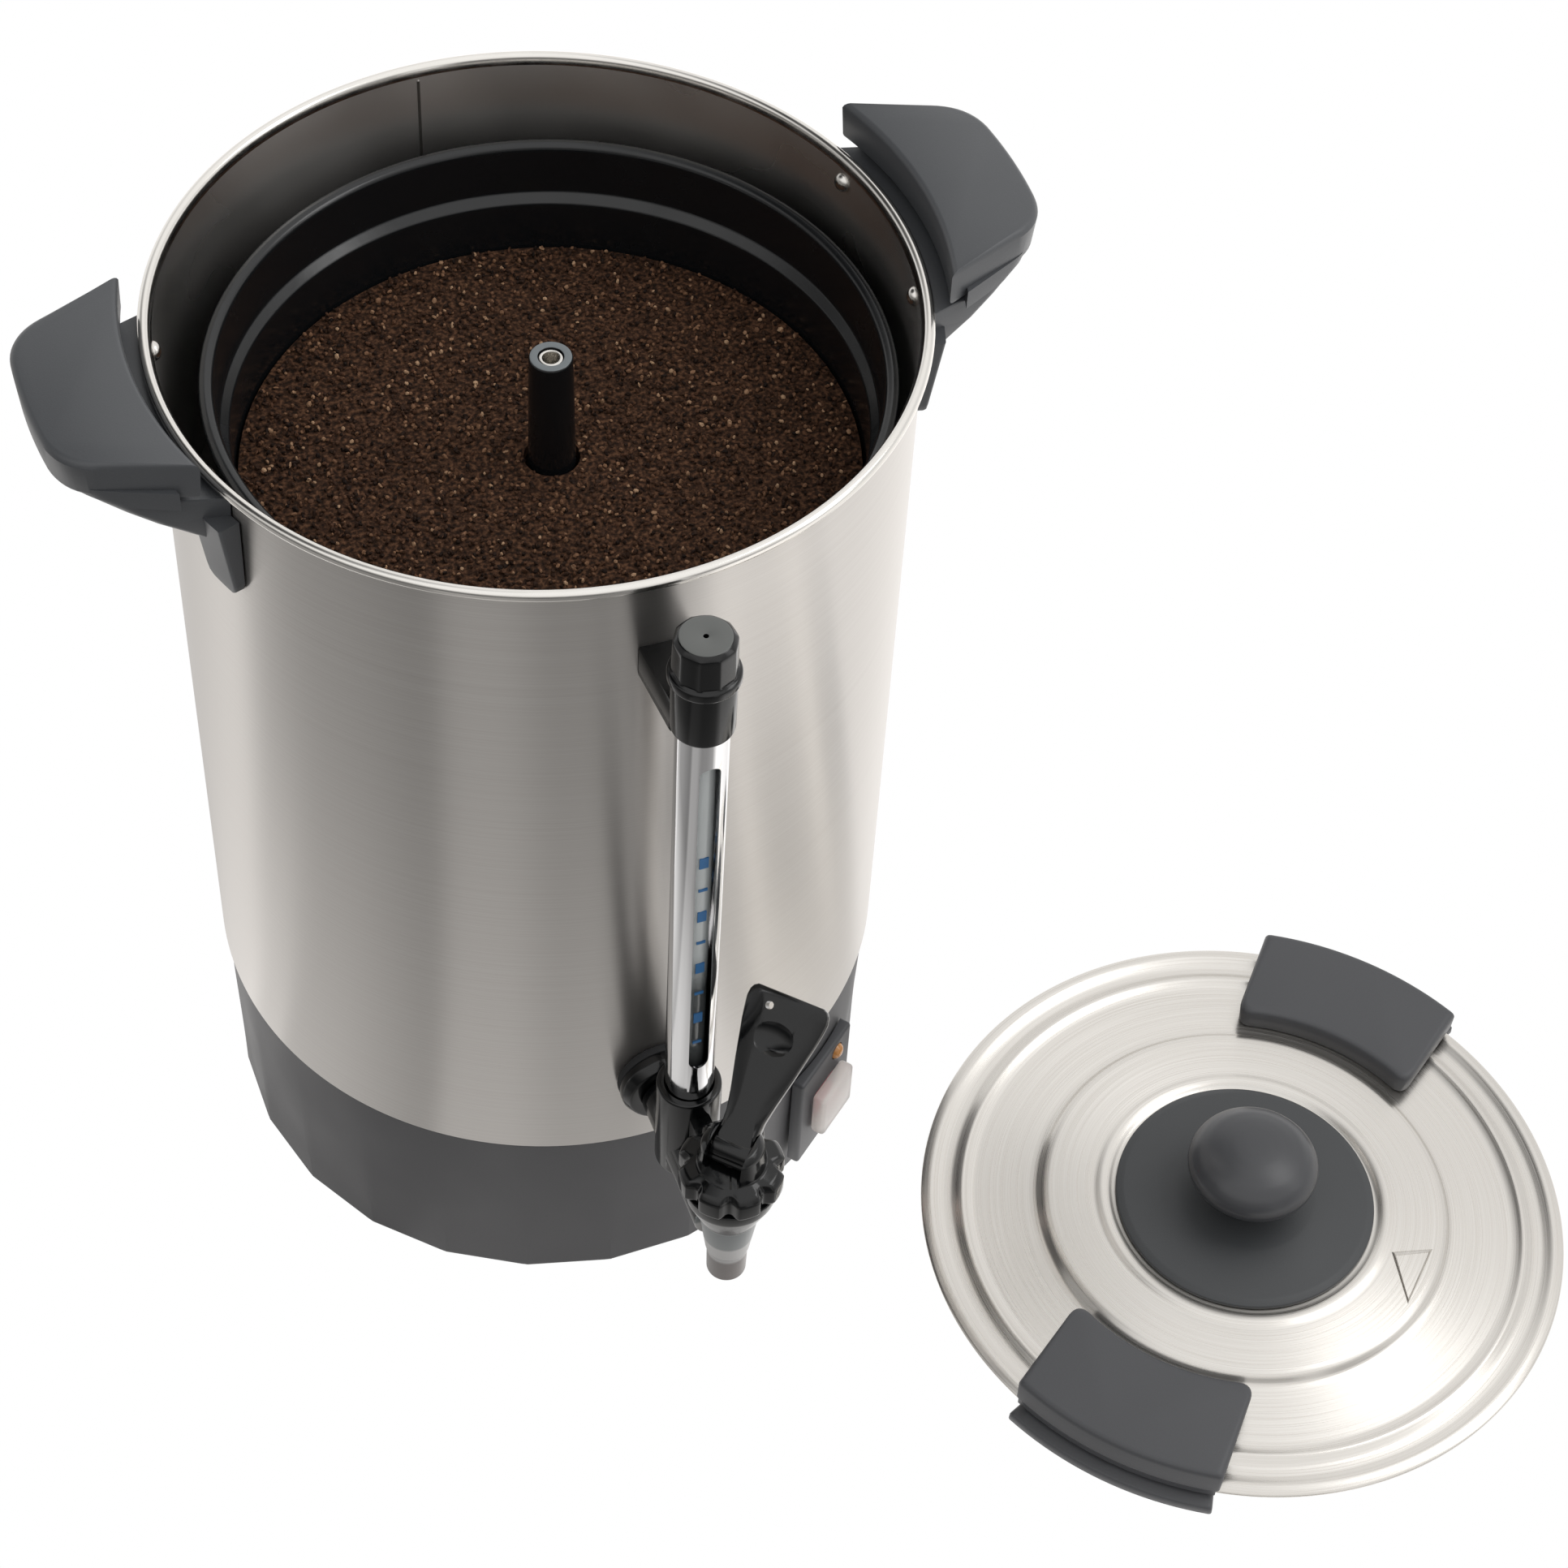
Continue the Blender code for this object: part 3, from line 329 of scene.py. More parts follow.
def bumped(tree, shader, source, depth, strength=1.0):
    """Raise and sink the surface by a pattern, depth in metres."""
    relief = add(tree, "ShaderNodeBump", {"Strength": strength, "Distance": depth}, {"Height": source})
    tree.links.new(shader.inputs["Normal"], relief.outputs["Normal"])


def tinted(tree, shader, source, stops):
    """Colour a shader from a pattern through (position, sRGB hex) stops."""
    tree.links.new(shader.inputs["Base Color"], ramp(tree, source, stops))


def brushed_round(tree, shader):
    """Lay a shader's brush lines in circles about Z."""
    tangent = add(tree, "ShaderNodeTangent", {"direction_type": "RADIAL", "axis": "Z"})
    tree.links.new(shader.inputs["Tangent"], tangent.outputs["Tangent"])


def uneven(name, colour, low, high, scale, metallic=0.0, **sockets):
    """A material whose roughness wanders between two limits, `scale` patches to the metre."""
    made, tree, shader = surface(name, colour, (low + high) / 2, metallic, **sockets)
    vary(tree, shader, "Roughness", pattern(tree, scale), low, high)
    return made


# 304 stainless, belt brushed: hair lines 0.4 mm apart that run round the wall stretch every
# highlight upright, so light and dark stand in soft vertical bands.
brushed_wall, tree, shader = surface("stainless_304_belt_brushed", "#ccc8c4", 0.33, 1.0, Anisotropic=0.9,
                                     Anisotropic_Rotation=0.25)
hair = pattern(tree, 1.0, 3.0, (9, 9, 2600))
vary(tree, shader, "Roughness", hair, 0.31, 0.36)
tinted(tree, shader, hair, [(0.3, "#c9c5c1"), (0.7, "#d1ceca")])
brushed_round(tree, shader)
# 304 stainless with its mill finish, inside: smoother than the outside and a little stained
inner_wall, tree, shader = surface("stainless_304_mill_finish_inside", "#dddad6", 0.28, 1.0, Anisotropic=0.8,
                                   Anisotropic_Rotation=0.25)
vary(tree, shader, "Roughness", pattern(tree, 14, 2.0), 0.24, 0.31)
brushed_round(tree, shader)
# 304 stainless left bright from the rolls, on the rim
bright_rim = uneven("stainless_304_bright_rolled", "#dedbd6", 0.12, 0.22, 90, 1.0)

RIM = 347.0
roll = [(113.3 + 1.75 * math.cos(deg(a)), RIM - 1.8 + 1.75 * math.sin(deg(a)))
        for a in range(165, -95, -13)]
shell = rounded([(0, 71.2), (26, 71.2), (26, 86), (109, 86), (111, 88), (111, RIM - 3.4)], 2.0, 5)[1:-1]
outside = rounded([(112, RIM - 4.4), (112, 77.5), (111, 77.5), (111, 84), (109.5, 85), (27, 85), (27, 70.2),
                   (0, 70.2)], 0.4)[1:-1]
wall = turned("tank_shell", [(0, 71.2)] + shell + [(111, RIM - 40), (111, RIM - 3.2)] + roll
              + [(112, RIM - 4.2), (112, RIM - 6)] + outside + [(0, 70.2)], 192)
finished(wall, brushed_wall, "urn", ["tank_wall", "tank_floor"])
coated(wall, inner_wall, lambda face: face.center.xy.length < 0.1112 and face.center.z > 0.0705)
coated(wall, bright_rim, lambda face: face.center.z > (RIM - 3.8) / 1000)

seam = turned("tank_weld_seam", rounded([(0, RIM - 4), (0.5, RIM - 4.4), (0.5, 92), (0, 91.6)], 0.3), 12,
              (111.05 * math.cos(deg(91)), 111.05 * math.sin(deg(91)), 0))
weld, tree, shader = surface("stainless_tig_weld", "#8d8a86", 0.42, 1.0)
bumped(tree, shader, pattern(tree, 900), 0.0001, 0.5)
finished(seam, weld, "urn", [])


# ------------ base
# Injection-moulded polypropylene skirt, dark grey with a spark-eroded grain. It is round where
# the steel sits over it and turns into twenty-four flats at the foot.
def moulded_grain(name, colour, roughness, grain=2600, tone=0.06):
    """Moulded plastic with a fine even grain, 0.4 mm from peak to peak, and slightly uneven gloss."""
    made, tree, shader = surface(name, colour, roughness, IOR=1.49)
    fine = pattern(tree, grain, 2.0)
    bumped(tree, shader, fine, 0.00006, 0.35)
    broad = pattern(tree, 22, 2.0)
    vary(tree, shader, "Roughness", broad, roughness - 0.05, roughness + 0.06)
    wash = mapped(tree, fine, 0.3, 0.7, 1 - tone, 1 + tone)
    shade = calc(tree, "SCALE", linear(colour)[:3], wash, kind="VectorMath")
    tree.links.new(shader.inputs["Base Color"], shade)
    return made


base_plastic = moulded_grain("polypropylene_dark_grey", "#4a4a4c", 0.5)
FLATS = 24


def foot_facets(angle, radius, height):
    """Outer wall only: round at 70 mm, flats at the floor."""
    if radius < 106.6:
        return radius
    step = 2 * math.pi / FLATS
    within = (angle - deg(7.3)) % step - step / 2
    flat = 109.8 * math.cos(step / 2) / math.cos(within)
    mix = min(1.0, max(0.0, (72 - height) / 64))
    mix = mix * mix * (3 - 2 * mix)
    return radius * (1 - mix) + flat * mix * radius / 110.6


skirt = [(110.6, 83.4)] + [(110.6, z) for z in (80, 75, 70, 62, 54, 46, 38, 30, 22, 15, 9, 4, 1.6)]
skirt += [(110.3, 0.6), (109.4, 0.05), (106.0, 0.05), (105.7, 0.4), (105.7, 2.9), (99, 2.9), (99, 5.4),
          (106.4, 5.4), (106.4, 83.4), (109.8, 83.6)]
base = turned("base_skirt", skirt, FLATS * 12, ring=True, form=foot_facets)
finished(base, base_plastic, "urn", ["base_ring"], 12)


# ------------ handles
# Each handle is one phenolic moulding: a flat top plate that overhangs the catch slot, a wing
# that slopes back to the wall, a saddle under the rim and two legs riveted through the wall.
def polar(radius, angle, z=0.0):
    return Vector((radius * math.cos(angle), radius * math.sin(angle), z))


def loft(name, levels, at=(0, 0, 0), turn=0.0):
    """Closed solid through outlines in mm at rising heights, turned about Z and set down at `at`."""
    data = bmesh.new()
    rows = [[data.verts.new((p[0] / 1000, p[1] / 1000, z / 1000)) for p in outline] for z, outline in levels]
    count = len(rows[0])
    for low, high in zip(rows, rows[1:]):
        for i in range(count):
            j = (i + 1) % count
            data.faces.new((low[i], low[j], high[j], high[i]))
    data.faces.new(rows[0][::-1])
    data.faces.new(rows[-1])
    return linked(name, data, at, Matrix.Rotation(turn, 4, "Z"))


def carved(piece, tools, operation="DIFFERENCE"):
    """Cut tools out of a piece, or join them to it, for good."""
    for tool in tools:
        change = piece.modifiers.new("carve", "BOOLEAN")
        change.operation = operation
        change.object = tool
        change.solver = "EXACT"
    bpy.context.view_layer.update()
    mesh = bpy.data.meshes.new_from_object(piece.evaluated_get(bpy.context.evaluated_depsgraph_get()))
    piece.modifiers.clear()
    piece.data = mesh
    for tool in tools:
        bpy.data.objects.remove(tool, do_unlink=True)
    return piece


def ring_sector(r_in, r_out, half_in, half_out, corner, inset=0.0):
    """Outline about +X in mm and degrees: inner arc, straight sides, rounded outer corners, outer arc."""
    r_in, r_out = r_in + inset, r_out - inset
    half_in, half_out = deg(half_in) - inset / r_in, deg(half_out) - inset / r_out
    points = [polar(r_in, half_in - 2 * half_in * i / 24).xy for i in range(25)]
    corner_at = polar(r_out, -half_out).xy
    start = corner_at + (points[-1] - corner_at).normalized() * corner
    end_angle = -half_out + corner / r_out
    end = polar(r_out, end_angle).xy
    side = [start.lerp(corner_at, i / 10).lerp(corner_at.lerp(end, i / 10), i / 10) for i in range(11)]
    outer = [polar(r_out, end_angle * (1 - i / 5)).xy for i in range(1, 10)]
    mirrored = [Vector((p.x, -p.y)) for p in reversed(side)]
    return points + side + outer + mirrored


def stacked(r_in, rows):
    """Levels for a loft, each from its height and the rest of its ring_sector sizes."""
    return [(z, ring_sector(r_in, *sizes)) for z, *sizes in rows]


handle_plastic = moulded_grain("phenolic_charcoal", "#47494c", 0.42, 2400, 0.05)
HANDLE_TURN = deg(1.5)
for handle, turn in (("handle_right", HANDLE_TURN), ("handle_left", HANDLE_TURN + math.pi)):
    plate = loft("plate", stacked(119.6, [(-13.0, 150, 19.4, 10.4, 11, 0.9), (-12.4, 150, 19.4, 10.4, 11, 0.25),
                                          (-11.6, 150.1, 19.4, 10.4, 11)])
                 + stacked(119.4, [(down, 150.8, 19.8, 10.6, 11, inset)
                                   for down, inset in ((-1.8, 0.0), (-0.85, 0.4), (-0.28, 1.0), (0.0, 1.7))]),
                 (0, 0, RIM + 11), turn)
    wing = loft(handle + "_moulding", stacked(112.4, [
        (-23, 117.0, 20, 18, 2, 0.4), (-22, 118.2, 20, 17.8, 2.4), (-18, 124.0, 20.3, 16.6, 3.6),
        (-14, 130.0, 20.6, 15.5, 5), (-9, 137.2, 20.8, 13.8, 6.6), (-5.0, 142.6, 21, 12.5, 8),
        (-4.6, 142.9, 21, 12.4, 8, 0.4)]), (0, 0, RIM), turn)
    neck = loft("neck", stacked(125, [(-5.6, 142.0, 18.4, 12.3, 8), (-2.4, 146.4, 18.4, 11.4, 9),
                                      (1.0, 149.0, 18.4, 10.6, 10)]), (0, 0, RIM), turn)
    legs = [loft("leg", stacked(112.4, [
        (-42, 114.2, 1.7, 1.6, 0.7), (-41.2, 115.0, 2.7, 2.6, 1), (-39.6, 115.4, 3.4, 3.2, 1),
        (-37, 115.7, 3.7, 3.5, 1), (-12, 119, 3.9, 3.6, 1)]), (0, 0, RIM), turn + side * deg(18.6))
            for side in (-1, 1)]
    moulding = carved(wing, [neck, plate] + legs, "UNION")
    finished(moulding, handle_plastic, "urn", [handle], 28)


# ------------ rivets
# Four stainless dome-head rivets, set through the wall into the handles' legs, heads inside.
def grown(name, tree, values):
    """Run a Geometry Nodes tree on an empty mesh with its named inputs, and keep a plain mesh."""
    piece = bpy.data.objects.new(name, bpy.data.meshes.new(name))
    shop.objects.link(piece)
    grow = piece.modifiers.new(name, "NODES")
    grow.node_group = tree
    for item in tree.interface.items_tree:
        if item.item_type == "SOCKET" and item.in_out == "INPUT" and item.name in values:
            grow[item.identifier] = values[item.name]
    bpy.context.view_layer.update()
    mesh = bpy.data.meshes.new_from_object(piece.evaluated_get(bpy.context.evaluated_depsgraph_get()))
    piece.modifiers.clear()
    piece.data = mesh
    return piece


def new_tree(name, inputs):
    """Geometry Nodes tree with named inputs; hands back the tree, its inputs and its output."""
    tree = bpy.data.node_groups.new(name, "GeometryNodeTree")
    for label, kind in inputs:
        tree.interface.new_socket(label, in_out="INPUT", socket_type="NodeSocket" + kind)
    tree.interface.new_socket("Geometry", in_out="OUTPUT", socket_type="NodeSocketGeometry")
    return tree, add(tree, "NodeGroupInput").outputs, add(tree, "NodeGroupOutput").inputs["Geometry"]


def realized(tree, geometry, finish, result):
    """End a tree: plain mesh instead of instances, with its material set."""
    real = add(tree, "GeometryNodeRealizeInstances", {}, {"Geometry": geometry}).outputs[0]
    done = add(tree, "GeometryNodeSetMaterial", {}, {"Geometry": real, "Material": finish}).outputs[0]
    tree.links.new(result, done)


polished = uneven("stainless_polished_small_parts", "#d6d3ce", 0.14, 0.28, 400, 1.0)

tree, given, result = new_tree("rivet_ring", [("Wall radius", "Float"), ("Height", "Float"),
                                              ("Turn", "Float"), ("Half spread", "Float"),
                                              ("Head radius", "Float"), ("Finish", "Material")])
index = add(tree, "GeometryNodeInputIndex").outputs[0]
odd = calc(tree, "MODULO", index, 2.0)
sign = calc(tree, "MULTIPLY_ADD", odd, 2.0, -1.0)
half = calc(tree, "MULTIPLY", sign, given["Half spread"])
far = calc(tree, "MULTIPLY", calc(tree, "SUBTRACT", index, odd), math.pi / 2)
angle = calc(tree, "ADD", calc(tree, "ADD", half, far), given["Turn"])
along_x, along_y = calc(tree, "COSINE", angle), calc(tree, "SINE", angle)
out_way = add(tree, "ShaderNodeCombineXYZ", {}, {"X": along_x, "Y": along_y}).outputs[0]
reach = calc(tree, "SCALE", out_way, given["Wall radius"], kind="VectorMath")
lift = add(tree, "ShaderNodeCombineXYZ", {}, {"Z": given["Height"]}).outputs[0]
where = calc(tree, "ADD", reach, lift, kind="VectorMath")
points = add(tree, "GeometryNodePoints", {"Count": 4}, {"Position": where}).outputs[0]
ball = add(tree, "GeometryNodeMeshUVSphere", {"Segments": 28, "Rings": 16}, {"Radius": given["Head radius"]})
dome = add(tree, "GeometryNodeTransform", {"Scale": (1, 1, 0.8)},
    {"Geometry": ball.outputs["Mesh"]}).outputs[0]
facing = add(tree, "FunctionNodeAlignRotationToVector", {"axis": "Z"}, {"Vector": out_way}).outputs[0]
heads = add(tree, "GeometryNodeInstanceOnPoints", {}, {"Points": points, "Instance": dome,
    "Rotation": facing})
realized(tree, heads.outputs[0], given["Finish"], result)
rivets = grown("handle_rivet_heads", tree, {
    "Wall radius": 0.111, "Height": (RIM - 8) / 1000, "Turn": HANDLE_TURN, "Half spread": deg(14),
    "Head radius": 0.003, "Finish": polished})
finished(rivets, polished, "urn", ["rivet_right_front", "rivet_right_back", "rivet_left_front",
    "rivet_left_back"])


# ------------ sight gauge
# A glass tube between two rubber seals, guarded by a slotted chromed brass tube. The bracket and
# the plug-in cap over it are gloss black phenolic.
def gloss_moulding(name, colour, roughness=0.12):
    """Gloss plastic: a faint waviness 15 mm across, as cooled skin has, and fine rub marks."""
    made, tree, shader = surface(name, colour, roughness, IOR=1.5, Specular_IOR_Level=0.42)
    bumped(tree, shader, pattern(tree, 70, 1.0), 0.0002, 0.25)
    vary(tree, shader, "Roughness", pattern(tree, 700, 3.0, (1, 1, 0.3)), roughness - 0.03, roughness + 0.07)
    return made


black = gloss_moulding("phenolic_gloss_black", "#08090a")
GAUGE = (0, -139.5, 0)
on_y = Matrix.Rotation(deg(90), 4, "X")

neck = hoop("gauge_arm_and_ring", [(9.2, 333), (9.2, 314.6), (8.6, 313.8), (8.0, 313.8), (8.0, 320),
    (5.2, 320), (5.2, 333)], 0.4, 3, 96, GAUGE)
arm = loft("arm", [(307.5, [(-7.2, -133.9), (7.2, -133.9), (8.6, -111), (-8.6, -111)]),
                   (308.1, [(-7.6, -133.5), (7.6, -133.5), (8.9, -111), (-8.9, -111)]),
                   (318.9, [(-7.6, -133.5), (7.6, -133.5), (8.9, -111), (-8.9, -111)]),
                   (319.5, [(-7.2, -133.9), (7.2, -133.9), (8.6, -111), (-8.6, -111)])])
carved(arm, [drill(112.35, 300, 330, 256)])
carved(neck, [arm], "UNION")
carved(neck, [drill(8.0, 320, 300, 64, GAUGE)])
finished(neck, black, "urn", ["gauge_bracket"])


def cap_flats(angle, radius, height):
    """Ten soft flats round the cap's grip."""
    if radius < 8 or not 337.6 < height < 349.4:
        return radius
    step = 2 * math.pi / 10
    within = (angle + 0.2) % step - step / 2
    return radius * (0.35 + 0.65 * math.cos(step / 2) / math.cos(within))


cap = [(0.7, 350.0), (7.2, 350.0), (7.6, 349.8), (9.0, 348.6), (9.1, 347.6), (9.3, 338.4), (9.3, 337.4),
       (10.1, 337.0), (10.4, 336.4), (10.4, 334.4), (10.0, 333.7), (9.6, 333.4), (5.8, 333.4), (4.9, 333.2),
       (4.9, 323), (0.7, 323)]
lid_of_gauge = hoop("gauge_cap_fluted", cap, 0.35, 2, 120, GAUGE, form=cap_flats)
finished(lid_of_gauge, black, "gauge_cap", ["gauge_cap"])
# The cap's flat top is given a lighter grey than the black cap: a painted sheen standing in for the sky and
# softbox it reflects.
cap_top_painted_sheen = uneven("phenolic_cap_top_painted_sheen", "#5c5e5c", 0.28, 0.42, 1500, IOR=1.5)
coated(lid_of_gauge, cap_top_painted_sheen, lambda face: face.center.z > 0.34992 and face.normal.z > 0.9)

# Bright chrome plate over a drawn tube, with the drawing lines just showing
chrome, tree, shader = surface("chrome_plate_on_brass", "#e9e9ea", 0.07, 1.0)
vary(tree, shader, "Roughness", pattern(tree, 1.0, 3.0, (1500, 1500, 12)), 0.05, 0.13)
shield = hoop("gauge_shield_tube", [(7.7, 316.2), (7.7, 138.0), (7.0, 138.0), (7.0, 316.2)], 0.2, 2, 96,
    GAUGE)
SLOT_FOOT, SLOT_TOP, SLOT_HALF = 164, 300, 3.2
for z in (SLOT_FOOT, SLOT_TOP):
    carved(shield, [drill(SLOT_HALF, 12, -12, 48, (0, -147, z), on_y)])
slot_plan = [(-SLOT_HALF, -160), (SLOT_HALF, -160), (SLOT_HALF, -139.5), (-SLOT_HALF, -139.5)]
carved(shield, [loft("run", [(SLOT_FOOT, slot_plan), (SLOT_TOP, slot_plan)])])
finished(shield, chrome, "urn", ["gauge_shield"])


def up_the_piece(tree, low, high, start=0.0, end=1.0):
    """A value that runs from start to end between two heights in metres."""
    at = add(tree, "ShaderNodeTexCoord").outputs["Object"]
    height = add(tree, "ShaderNodeSeparateXYZ", links={"Vector": at}).outputs["Z"]
    return mapped(tree, height, low, high, start, end)


# Borosilicate tube, clear at its foot and less clear and paler above: painted light, standing in for the
# brightness seen through the upper slot
glass, tree, shader = surface("borosilicate_glass", "#e9eeee", 0.04, IOR=1.47)
# Transmission falls from 0.92 to 0.3 up the tube, a painted brightening of its upper part.
tree.links.new(shader.inputs["Transmission Weight"], up_the_piece(tree, 0.196, 0.214, 0.92, 0.3))
vary(tree, shader, "Roughness", pattern(tree, 60), 0.01, 0.06)
tube = hoop("gauge_glass_tube", [(4.2, 319), (4.2, 137.2), (3.1, 137.2), (3.1, 319)], 0.3, 2, 64, GAUGE)
finished(tube, glass, "urn", ["gauge_glass"])

# Level lines baked on the glass in blue enamel, every second one long; no lettering
blue = uneven("blue_ceramic_ink", "#2f6ea6", 0.3, 0.5, 2500)
tree, given, result = new_tree("level_lines", [("Lines", "Int"), ("Lowest", "Vector"),
                                               ("Step", "Vector"), ("Line size", "Vector"),
                                               ("Finish", "Material")])
row = add(tree, "GeometryNodeMeshLine", {}, {"Count": given["Lines"], "Start Location": given["Lowest"],
                                             "Offset": given["Step"]})
stroke = add(tree, "GeometryNodeMeshCube", {}, {"Size": given["Line size"]}).outputs["Mesh"]
index = add(tree, "GeometryNodeInputIndex").outputs[0]
tall = calc(tree, "MULTIPLY_ADD", calc(tree, "MODULO", index, 2.0), 3.2, 1.0)
size = add(tree, "ShaderNodeCombineXYZ", {"X": 1.0, "Y": 1.0}, {"Z": tall}).outputs[0]
strokes = add(tree, "GeometryNodeInstanceOnPoints", {},
              {"Points": row.outputs[0], "Instance": stroke, "Scale": size})
realized(tree, strokes.outputs[0], given["Finish"], result)
level_lines = grown("gauge_level_lines", tree, {
    "Lines": 8, "Lowest": (0.0003, -0.14378, 0.170), "Step": (0, 0, 0.0125),
    "Line size": (0.0028, 0.0003, 0.0011), "Finish": blue})
finished(level_lines, blue, "urn", [])


# ------------ faucet body
# One gloss black phenolic moulding: threaded shank through the wall, gauge socket and barrel,
# with a moulded flange and a rubber washer drawn up against the wall.
SHANK = (0, -112, 113)
shank = turned("faucet_moulding", rounded([(0, 59), (9.0, 59), (9.0, 10.2), (7.7, 9.4), (7.7, -9.5),
    (0, -9.5)], 0.5), 72, SHANK, on_y)
socket = turned("socket", rounded([(0, 143.6), (10.2, 143.6), (10.2, 104.4), (0, 104.4)], 1.0, 4), 80, GAUGE)
BARREL = (0, -176.5, 0)
barrel = turned("barrel", rounded([(0, 142), (15.0, 142), (14.4, 137), (9.9, 125.4), (9.4, 124.2),
    (6.9, 105.4), (0, 105.4)], 0.7), 96, BARREL)
web = loft("web", [(116, [(-3.2, -172), (3.2, -172), (3.2, -140), (-3.2, -140)]),
                   (137, [(-3.2, -166), (3.2, -166), (3.2, -140), (-3.2, -140)])])
for joined in (socket, barrel, web):
    carved(shank, [joined], "UNION")
carved(shank, [turned("bore", [(0, 150), (7.95, 150), (7.95, 133), (3.0, 132.6), (3.0, 112), (0, 112)], 64,
    GAUGE)])
carved(shank, [turned("bore", [(0, 150), (11.8, 150), (11.8, 136.6), (5.6, 121), (5.6, 98), (0, 98)], 64,
    BARREL)])
carved(shank, [drill(7.6, 105.35, 95, 64, BARREL)])
carved(shank, [drill(4.2, 60.6, -20, 32, SHANK, on_y)])
finished(shank, black, "urn", ["faucet_body"])
# Grey polypropylene, let in round the barrel's lower cone, with painted reflection bands by height: darker at
# both ends, a paler painted highlight band between
grey_plastic_painted_bands, tree, shader = surface("polypropylene_grey_painted_reflection_bands", "#8a8886", 0.3, IOR=1.49)
# The bands by height are painted reflections; only the plain grey is the plastic's own colour.
tinted(tree, shader, up_the_piece(tree, 0.093, 0.125), [(0.0, "#7a7472"), (0.3, "#7f7a78"), (0.34, "#b4b3b2"),
    (0.6, "#b9b8b7"), (0.64, "#7d8182"), (1.0, "#6f7475")])
axis_at = Vector(BARREL)
coated(shank, grey_plastic_painted_bands,
    lambda face: face.center.z < 0.1244 and (face.center - axis_at / 1000).xy.length < 0.0105)

flange = hoop("shank_flange_ring", [(12.6, 9.6), (14.4, 6.6), (14.4, 3.7), (8.0, 3.7), (8.0, 9.6)], 0.6, 3,
    72, SHANK, on_y)
finished(flange, black, "urn", ["shank_flange"])
rubber, tree, shader = surface("nitrile_rubber", "#17181a", 0.72)
bumped(tree, shader, pattern(tree, 1800), 0.00005, 0.4)
washer = hoop("shank_washer_rubber", [(14.2, 3.4), (14.2, 0.6), (8.0, 0.6), (8.0, 3.4)], 0.6, 3, 72, SHANK,
    on_y)
finished(washer, rubber, "urn", ["shank_washer_outer"])

# Outlet tip, a separate nozzle of the same grey plastic with its painted bands, pushed up into the barrel
nozzle = hoop("faucet_nozzle_tip", [(5.2, 110.2), (5.2, 105.0), (6.4, 105.0), (6.4, 103.6), (6.2, 93.0),
    (4.2, 93.0), (4.2, 110.2)], 0.4, 3, 72, BARREL)
finished(nozzle, grey_plastic_painted_bands, "urn", ["faucet_nozzle"])


# ------------ faucet bonnet and lever
# The bonnet screws down over the barrel by its eight-lobed grip; the lever rocks in its slot on
# a steel pin. Both are gloss black phenolic.
def grip_lobes(angle, radius, height):
    """Eight round scallops between the lobes of the grip."""
    if radius <= 10.7:
        return radius
    dip = max(0.0, math.cos(8 * (angle - deg(22)))) ** 1.4
    return radius - 2.3 * dip * min(1.0, (radius - 10.7) / 4.6)


bonnet = turned("faucet_bonnet_lobed", rounded([(0, 162.4), (7.8, 162.4), (9.6, 160.6), (10.6, 152.4),
    (14.6, 151.6), (16.4, 149.8), (16.4, 143.4), (15.4, 142.3), (11.4, 142.3), (11.4, 137.2), (0, 137.2)],
    0.8, 4), 160, BARREL, form=grip_lobes)
LEVER_TURN = deg(44)
LEVER_LEAN = deg(53)


def box(name, size, at, turn=0.0, edge=0.0, segments=3):
    """Block of the given size in mm centred at `at`, turned about Z, its edges rounded."""
    data = bmesh.new()
    bmesh.ops.create_cube(data, size=1)
    bmesh.ops.scale(data, vec=Vector(size) / 1000, verts=data.verts)
    if edge:
        bmesh.ops.bevel(data, geom=data.edges[:], offset=edge / 1000, segments=segments, profile=0.5,
                        affect="EDGES")
    return linked(name, data, at, Matrix.Rotation(turn, 4, "Z"))


carved(bonnet, [turned("bore", [(0, 170), (3.2, 170), (3.2, 147), (8.6, 145.5), (8.6, 130), (0, 130)], 48,
    BARREL)])
carved(bonnet, [box("slot", (40, 12.6, 16), axis_at + Vector((0, 0, 160.3)), LEVER_TURN)])
finished(bonnet, black, "urn", ["faucet_bonnet"])

lever_place = (Matrix.Translation((axis_at + Vector((0, 0, 157))) / 1000) @ Matrix.Rotation(LEVER_TURN, 4,
    "Z") @ Matrix.Rotation(LEVER_LEAN, 4, "Y"))


def lever_outline(width, thick, slope):
    """Blade section in mm: X through its thickness (front is -X), Y across. Its front slopes back
    towards both long edges, more strongly as the blade widens."""
    half, deep = width / 2, thick / 2
    corner = min(0.9, deep * 0.4)
    face = half - 0.27 * width * slope
    drop = 1.9 * slope
    points = [(deep, -half + corner), (deep, half - corner), (deep - 0.3 * corner, half - 0.3 * corner),
              (deep - corner, half), (-deep + drop + corner, half),
              (-deep + drop + 0.3 * corner, half - 0.3 * corner), (-deep + drop * 0.92, half - corner),
              (-deep + 0.25, face + 0.6), (-deep, face - 0.4)]
    return points + [(x, -y) for x, y in reversed(points[2:])]


